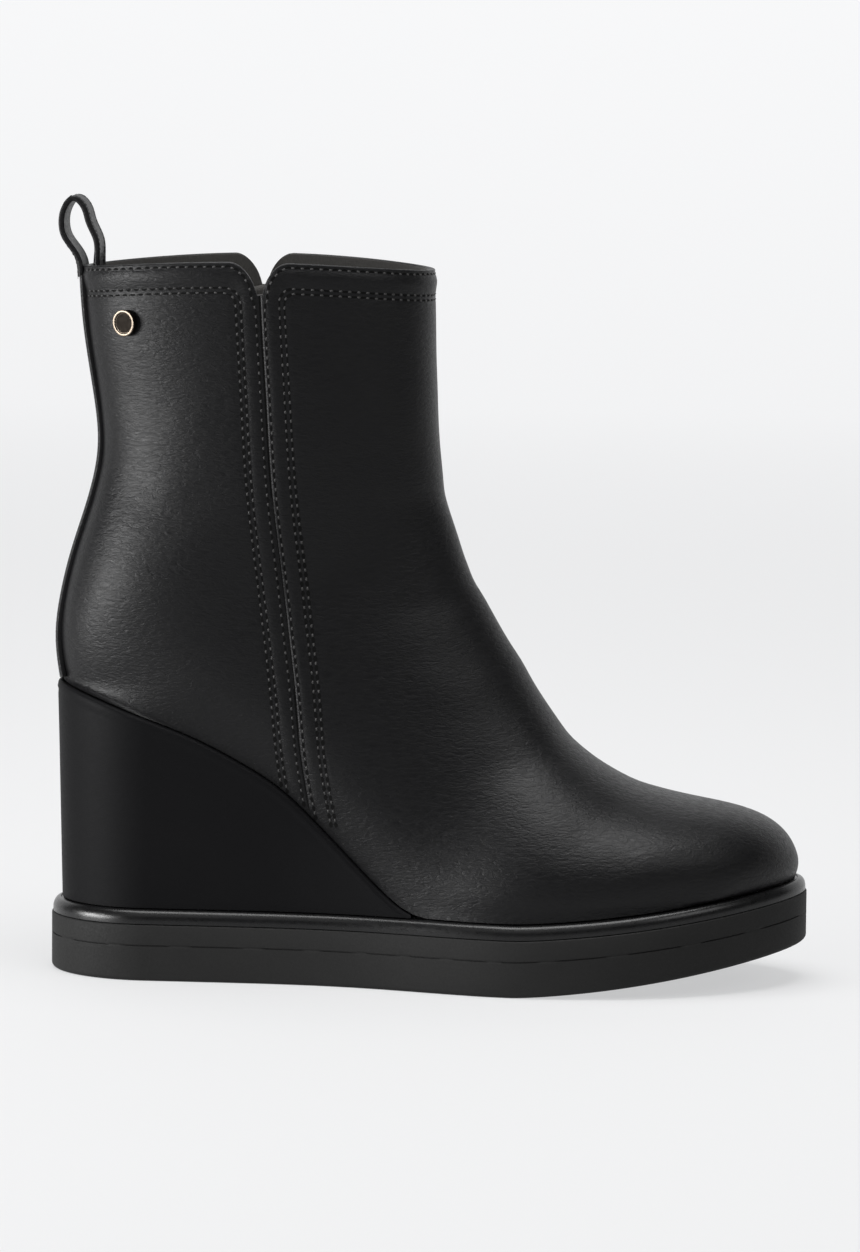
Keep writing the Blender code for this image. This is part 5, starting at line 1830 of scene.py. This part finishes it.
@dataclass
class Stud:
    """The small round metal stud: a polished rim round a shallow bare dish."""

    form: BootForm
    finishes: Wardrobe
    plan: SeamPlan
    diameter: float = 0.0082
    height: float = 0.0018
    rim: float = 0.00085
    dish: float = 0.0004
    behind_seam: float = 0.0425
    below_collar: float = 0.0165

    def build(self) -> bpy.types.Object:
        """Makes the stud."""
        Bench.clear()
        bpy.ops.mesh.primitive_cylinder_add(
            vertices=64, radius=self.diameter / 2, depth=self.height, location=(0, 0, self.height / 2)
        )
        stud = bpy.context.active_object
        stud.name = "collar_stud"
        bpy.ops.object.transform_apply(location=True)
        self.pick_top(stud)
        bpy.ops.mesh.inset(thickness=self.rim)
        bpy.ops.mesh.extrude_region_move(TRANSFORM_OT_translate={"value": (0, 0, -self.dish)})
        bpy.ops.mesh.inset(thickness=self.rim * 0.25)
        stud.data.materials.append(self.finishes.metal)
        stud.data.materials.append(self.finishes.dish)
        stud.active_material_index = 1
        bpy.ops.object.material_slot_assign()
        bpy.ops.object.mode_set(mode="OBJECT")
        Bench.apply(stud, "BEVEL", width=self.rim * 0.38, segments=5, limit_method="ANGLE",
                    angle_limit=math.radians(50), harden_normals=False)
        bpy.ops.object.shade_smooth_by_angle(angle=math.radians(50))
        number = float(self.form.section_at_height(np.array(self.form.collar_height - self.below_collar)))
        length = float(self.form.curve["front_x"](number) - self.form.rear_point(np.array(number))[0])
        share = self.form.seam_share(np.array([number]), Side.LATERAL) + self.behind_seam / length
        turn = self.form.turn_at(np.array([number]), share)
        at = np.array([number]), turn
        normal = Vector(self.form.normal(*at, Side.LATERAL)[0])
        seat = Vector(self.form.skin(*at, Side.LATERAL)[0]) + normal * self.form.clearance
        place = Matrix.Translation(seat) @ normal.to_track_quat("Z", "Y").to_matrix().to_4x4()
        stud.data.transform(place)
        stud.data.update()
        return Bench.seat(stud, Slot.METAL, ["stud"])

    @staticmethod
    def pick_top(obj: bpy.types.Object) -> None:
        """Enters edit mode with only the uppermost face selected."""
        Bench.take(obj)
        highest = max(obj.data.polygons, key=lambda p: p.center.z)
        for polygon in obj.data.polygons:
            polygon.select = polygon.index == highest.index
        for edge in obj.data.edges:
            edge.select = False
        for vertex in obj.data.vertices:
            vertex.select = vertex.index in set(highest.vertices)
        bpy.ops.object.mode_set(mode="EDIT")
        bpy.ops.mesh.select_mode(type="FACE")


@dataclass(frozen=True)
class Softbox:
    """A large soft lamp."""

    name: str
    place: tuple[float, float, float]
    target: tuple[float, float, float]
    size: tuple[float, float]
    power: float

    def build(self) -> bpy.types.Object:
        """Makes the lamp."""
        data = bpy.data.lights.new(self.name, "AREA")
        data.shape = "RECTANGLE"
        data.size, data.size_y = self.size
        data.energy = self.power
        lamp = bpy.data.objects.new(self.name, data)
        bpy.context.scene.collection.objects.link(lamp)
        lamp.location = self.place
        aim = Vector(self.target) - Vector(self.place)
        lamp.rotation_euler = aim.to_track_quat("-Z", "Y").to_euler()
        return lamp


@dataclass
class Studio:
    """Pale seamless backdrop, soft lamps and the camera."""

    distance: float = 1.950
    yaw: float = 5.0
    roll: float = 0.5
    target_height: float = 0.1092
    camera_above: float = 0.210
    lens: float = 179.4
    backdrop_colour: float = 0.20
    glow: tuple[float, float] = (0.55, 0.89)
    world_light: float = 0.03
    lamps: tuple[Softbox, ...] = (
        Softbox("overhead", (-0.05, -0.12, 1.40), (0.02, 0.0, 0.08), (1.2, 0.9), 27.0),
        Softbox("left_side", (-1.20, -0.52, 0.20), (-0.08, 0.0, 0.12), (0.70, 0.34), 21.0),
        Softbox("right_side", (1.0, -0.80, 1.0), (0.05, 0.0, 0.05), (0.8, 0.6), 5.0),
        Softbox("front_fill", (-0.3, -1.6, 1.6), (0.0, 0.0, 0.08), (2.0, 1.2), 5.0),
    )

    def backdrop(self) -> None:
        """A floor that turns up into a wall far behind."""
        Bench.clear()
        bpy.ops.mesh.primitive_plane_add(size=1.0, location=(0, 0, 0))
        floor = bpy.context.active_object
        floor.name = "backdrop"
        bpy.ops.object.mode_set(mode="EDIT")
        bpy.ops.mesh.select_all(action="SELECT")
        bpy.ops.transform.resize(value=(14.0, 8.0, 1.0))
        bpy.ops.object.mode_set(mode="OBJECT")
        for edge in floor.data.edges:
            ends = [floor.data.vertices[i].co.y for i in edge.vertices]
            edge.select = min(ends) > 1.0
        for polygon in floor.data.polygons:
            polygon.select = False
        for vertex in floor.data.vertices:
            vertex.select = vertex.co.y > 1.0
        bpy.ops.object.mode_set(mode="EDIT")
        bpy.ops.mesh.select_mode(type="EDGE")
        bpy.ops.mesh.extrude_region_move(TRANSFORM_OT_translate={"value": (0, 0, 4.0)})
        bpy.ops.object.mode_set(mode="OBJECT")
        Bench.apply(
            floor, "BEVEL", width=1.6, segments=24, limit_method="ANGLE", angle_limit=math.radians(40)
        )
        bpy.ops.object.shade_smooth_by_angle(angle=math.radians(60))
        sheet = NodeSheet("pale_paper")
        tone = self.backdrop_colour
        mottle = sheet.noise(3.0, 2.0)
        floor.data.materials.clear()
        split = sheet.node("ShaderNodeSeparateXYZ", Vector=sheet.place)
        floor.data.materials.append(sheet.dress(
            Base_Color=sheet.tint(mottle, (tone * 0.99, tone * 0.99, tone), (tone, tone, tone)),
            Roughness=0.85, Specular_IOR_Level=0.15, Emission_Color=(0.985, 0.99, 1.0, 1.0),
            Emission_Strength=sheet.ramp(split.outputs["Y"], 0.0, 3.5, self.glow[0], self.glow[1]),
        ))
        floor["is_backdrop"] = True

    def camera(self) -> None:
        """Sets the camera at the photograph's viewpoint."""
        yaw, roll = math.radians(self.yaw), math.radians(self.roll)
        flat = math.sqrt(self.distance**2 - self.camera_above**2)
        target = Vector((0.0, 0.0, self.target_height))
        eye = target + Vector((math.sin(yaw) * flat, -math.cos(yaw) * flat, self.camera_above))
        look = (target - eye).normalized()
        right = look.cross(Vector((0, 0, 1))).normalized()
        up = right.cross(look)
        turned = right * math.cos(roll) + up * math.sin(roll)
        upright = up * math.cos(roll) - right * math.sin(roll)
        axes = Matrix((turned, upright, -look)).transposed().to_4x4()
        data = bpy.data.cameras.new("camera")
        data.sensor_fit = "VERTICAL"
        data.sensor_height = 36.0
        data.lens = self.lens
        data.clip_end = 50.0
        camera = bpy.data.objects.new("camera", data)
        bpy.context.scene.collection.objects.link(camera)
        camera.matrix_world = Matrix.Translation(eye) @ axes
        bpy.context.scene.camera = camera

    def light(self) -> None:
        """Sets the lamps and the faint light all round."""
        for lamp in self.lamps:
            lamp.build()
        world = bpy.data.worlds.new("studio_air")
        world.use_nodes = True
        background = world.node_tree.nodes["Background"]
        background.inputs["Color"].default_value = (1.0, 1.0, 1.0, 1.0)
        background.inputs["Strength"].default_value = self.world_light
        bpy.context.scene.world = world
        bpy.context.scene.view_settings.view_transform = "Standard"

    def build(self) -> None:
        """Makes the whole studio."""
        self.backdrop()
        self.light()
        self.camera()


def write_sizes(start: object, end: object) -> None:
    """Turns the bounds before and after the work into plain lists, which are then dropped."""
    {"start": plain(start), "end": plain(end)}


def plain(value: object) -> object:
    """Vectors and arrays as plain lists."""
    if isinstance(value, dict):
        return {str(key): plain(part) for key, part in value.items()}
    if isinstance(value, (str, int, float, bool)) or value is None:
        return value
    return [plain(part) for part in value]


def report(piece: bpy.types.Object) -> None:
    """Logs a finished piece's name and size."""
    piece.data.calc_loop_triangles()
    LOG.info("%s: %d triangles", piece.name, len(piece.data.loop_triangles))


def main() -> None:
    """Builds the boot piece by piece, then the studio."""
    logging.basicConfig(level=logging.INFO, format="%(message)s")
    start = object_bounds()
    form = BootForm()
    finishes = Wardrobe()
    plan = SeamPlan(form)
    for part in (Outsole, Platform, Wedge, Insole):
        report(part(form, finishes).build())
    upper = UpperLeather(form, finishes, plan).build()
    report(upper)
    stitches = StitchLine(finishes)
    for strap in (Backstay(form, finishes), PullLoop(form, finishes)):
        made = strap.build()
        report(made)
        strap.stitch(stitches, made)
    for side in Side:
        report(SideGusset(form, finishes, plan, side).build())
        for front in (True, False):
            lines = [plan.edge(front, side)] + [plan.row(row, front, side) for row in plan.double_rows]
            for line in lines:
                stitches.add(*plan.place(resample(line, 0.0012), side), upper)
    for piece in stitches.build():
        report(piece)
    report(Stud(form, finishes, plan).build())
    Studio().build()
    write_sizes(start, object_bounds())


if __name__ == "__main__":
    main()
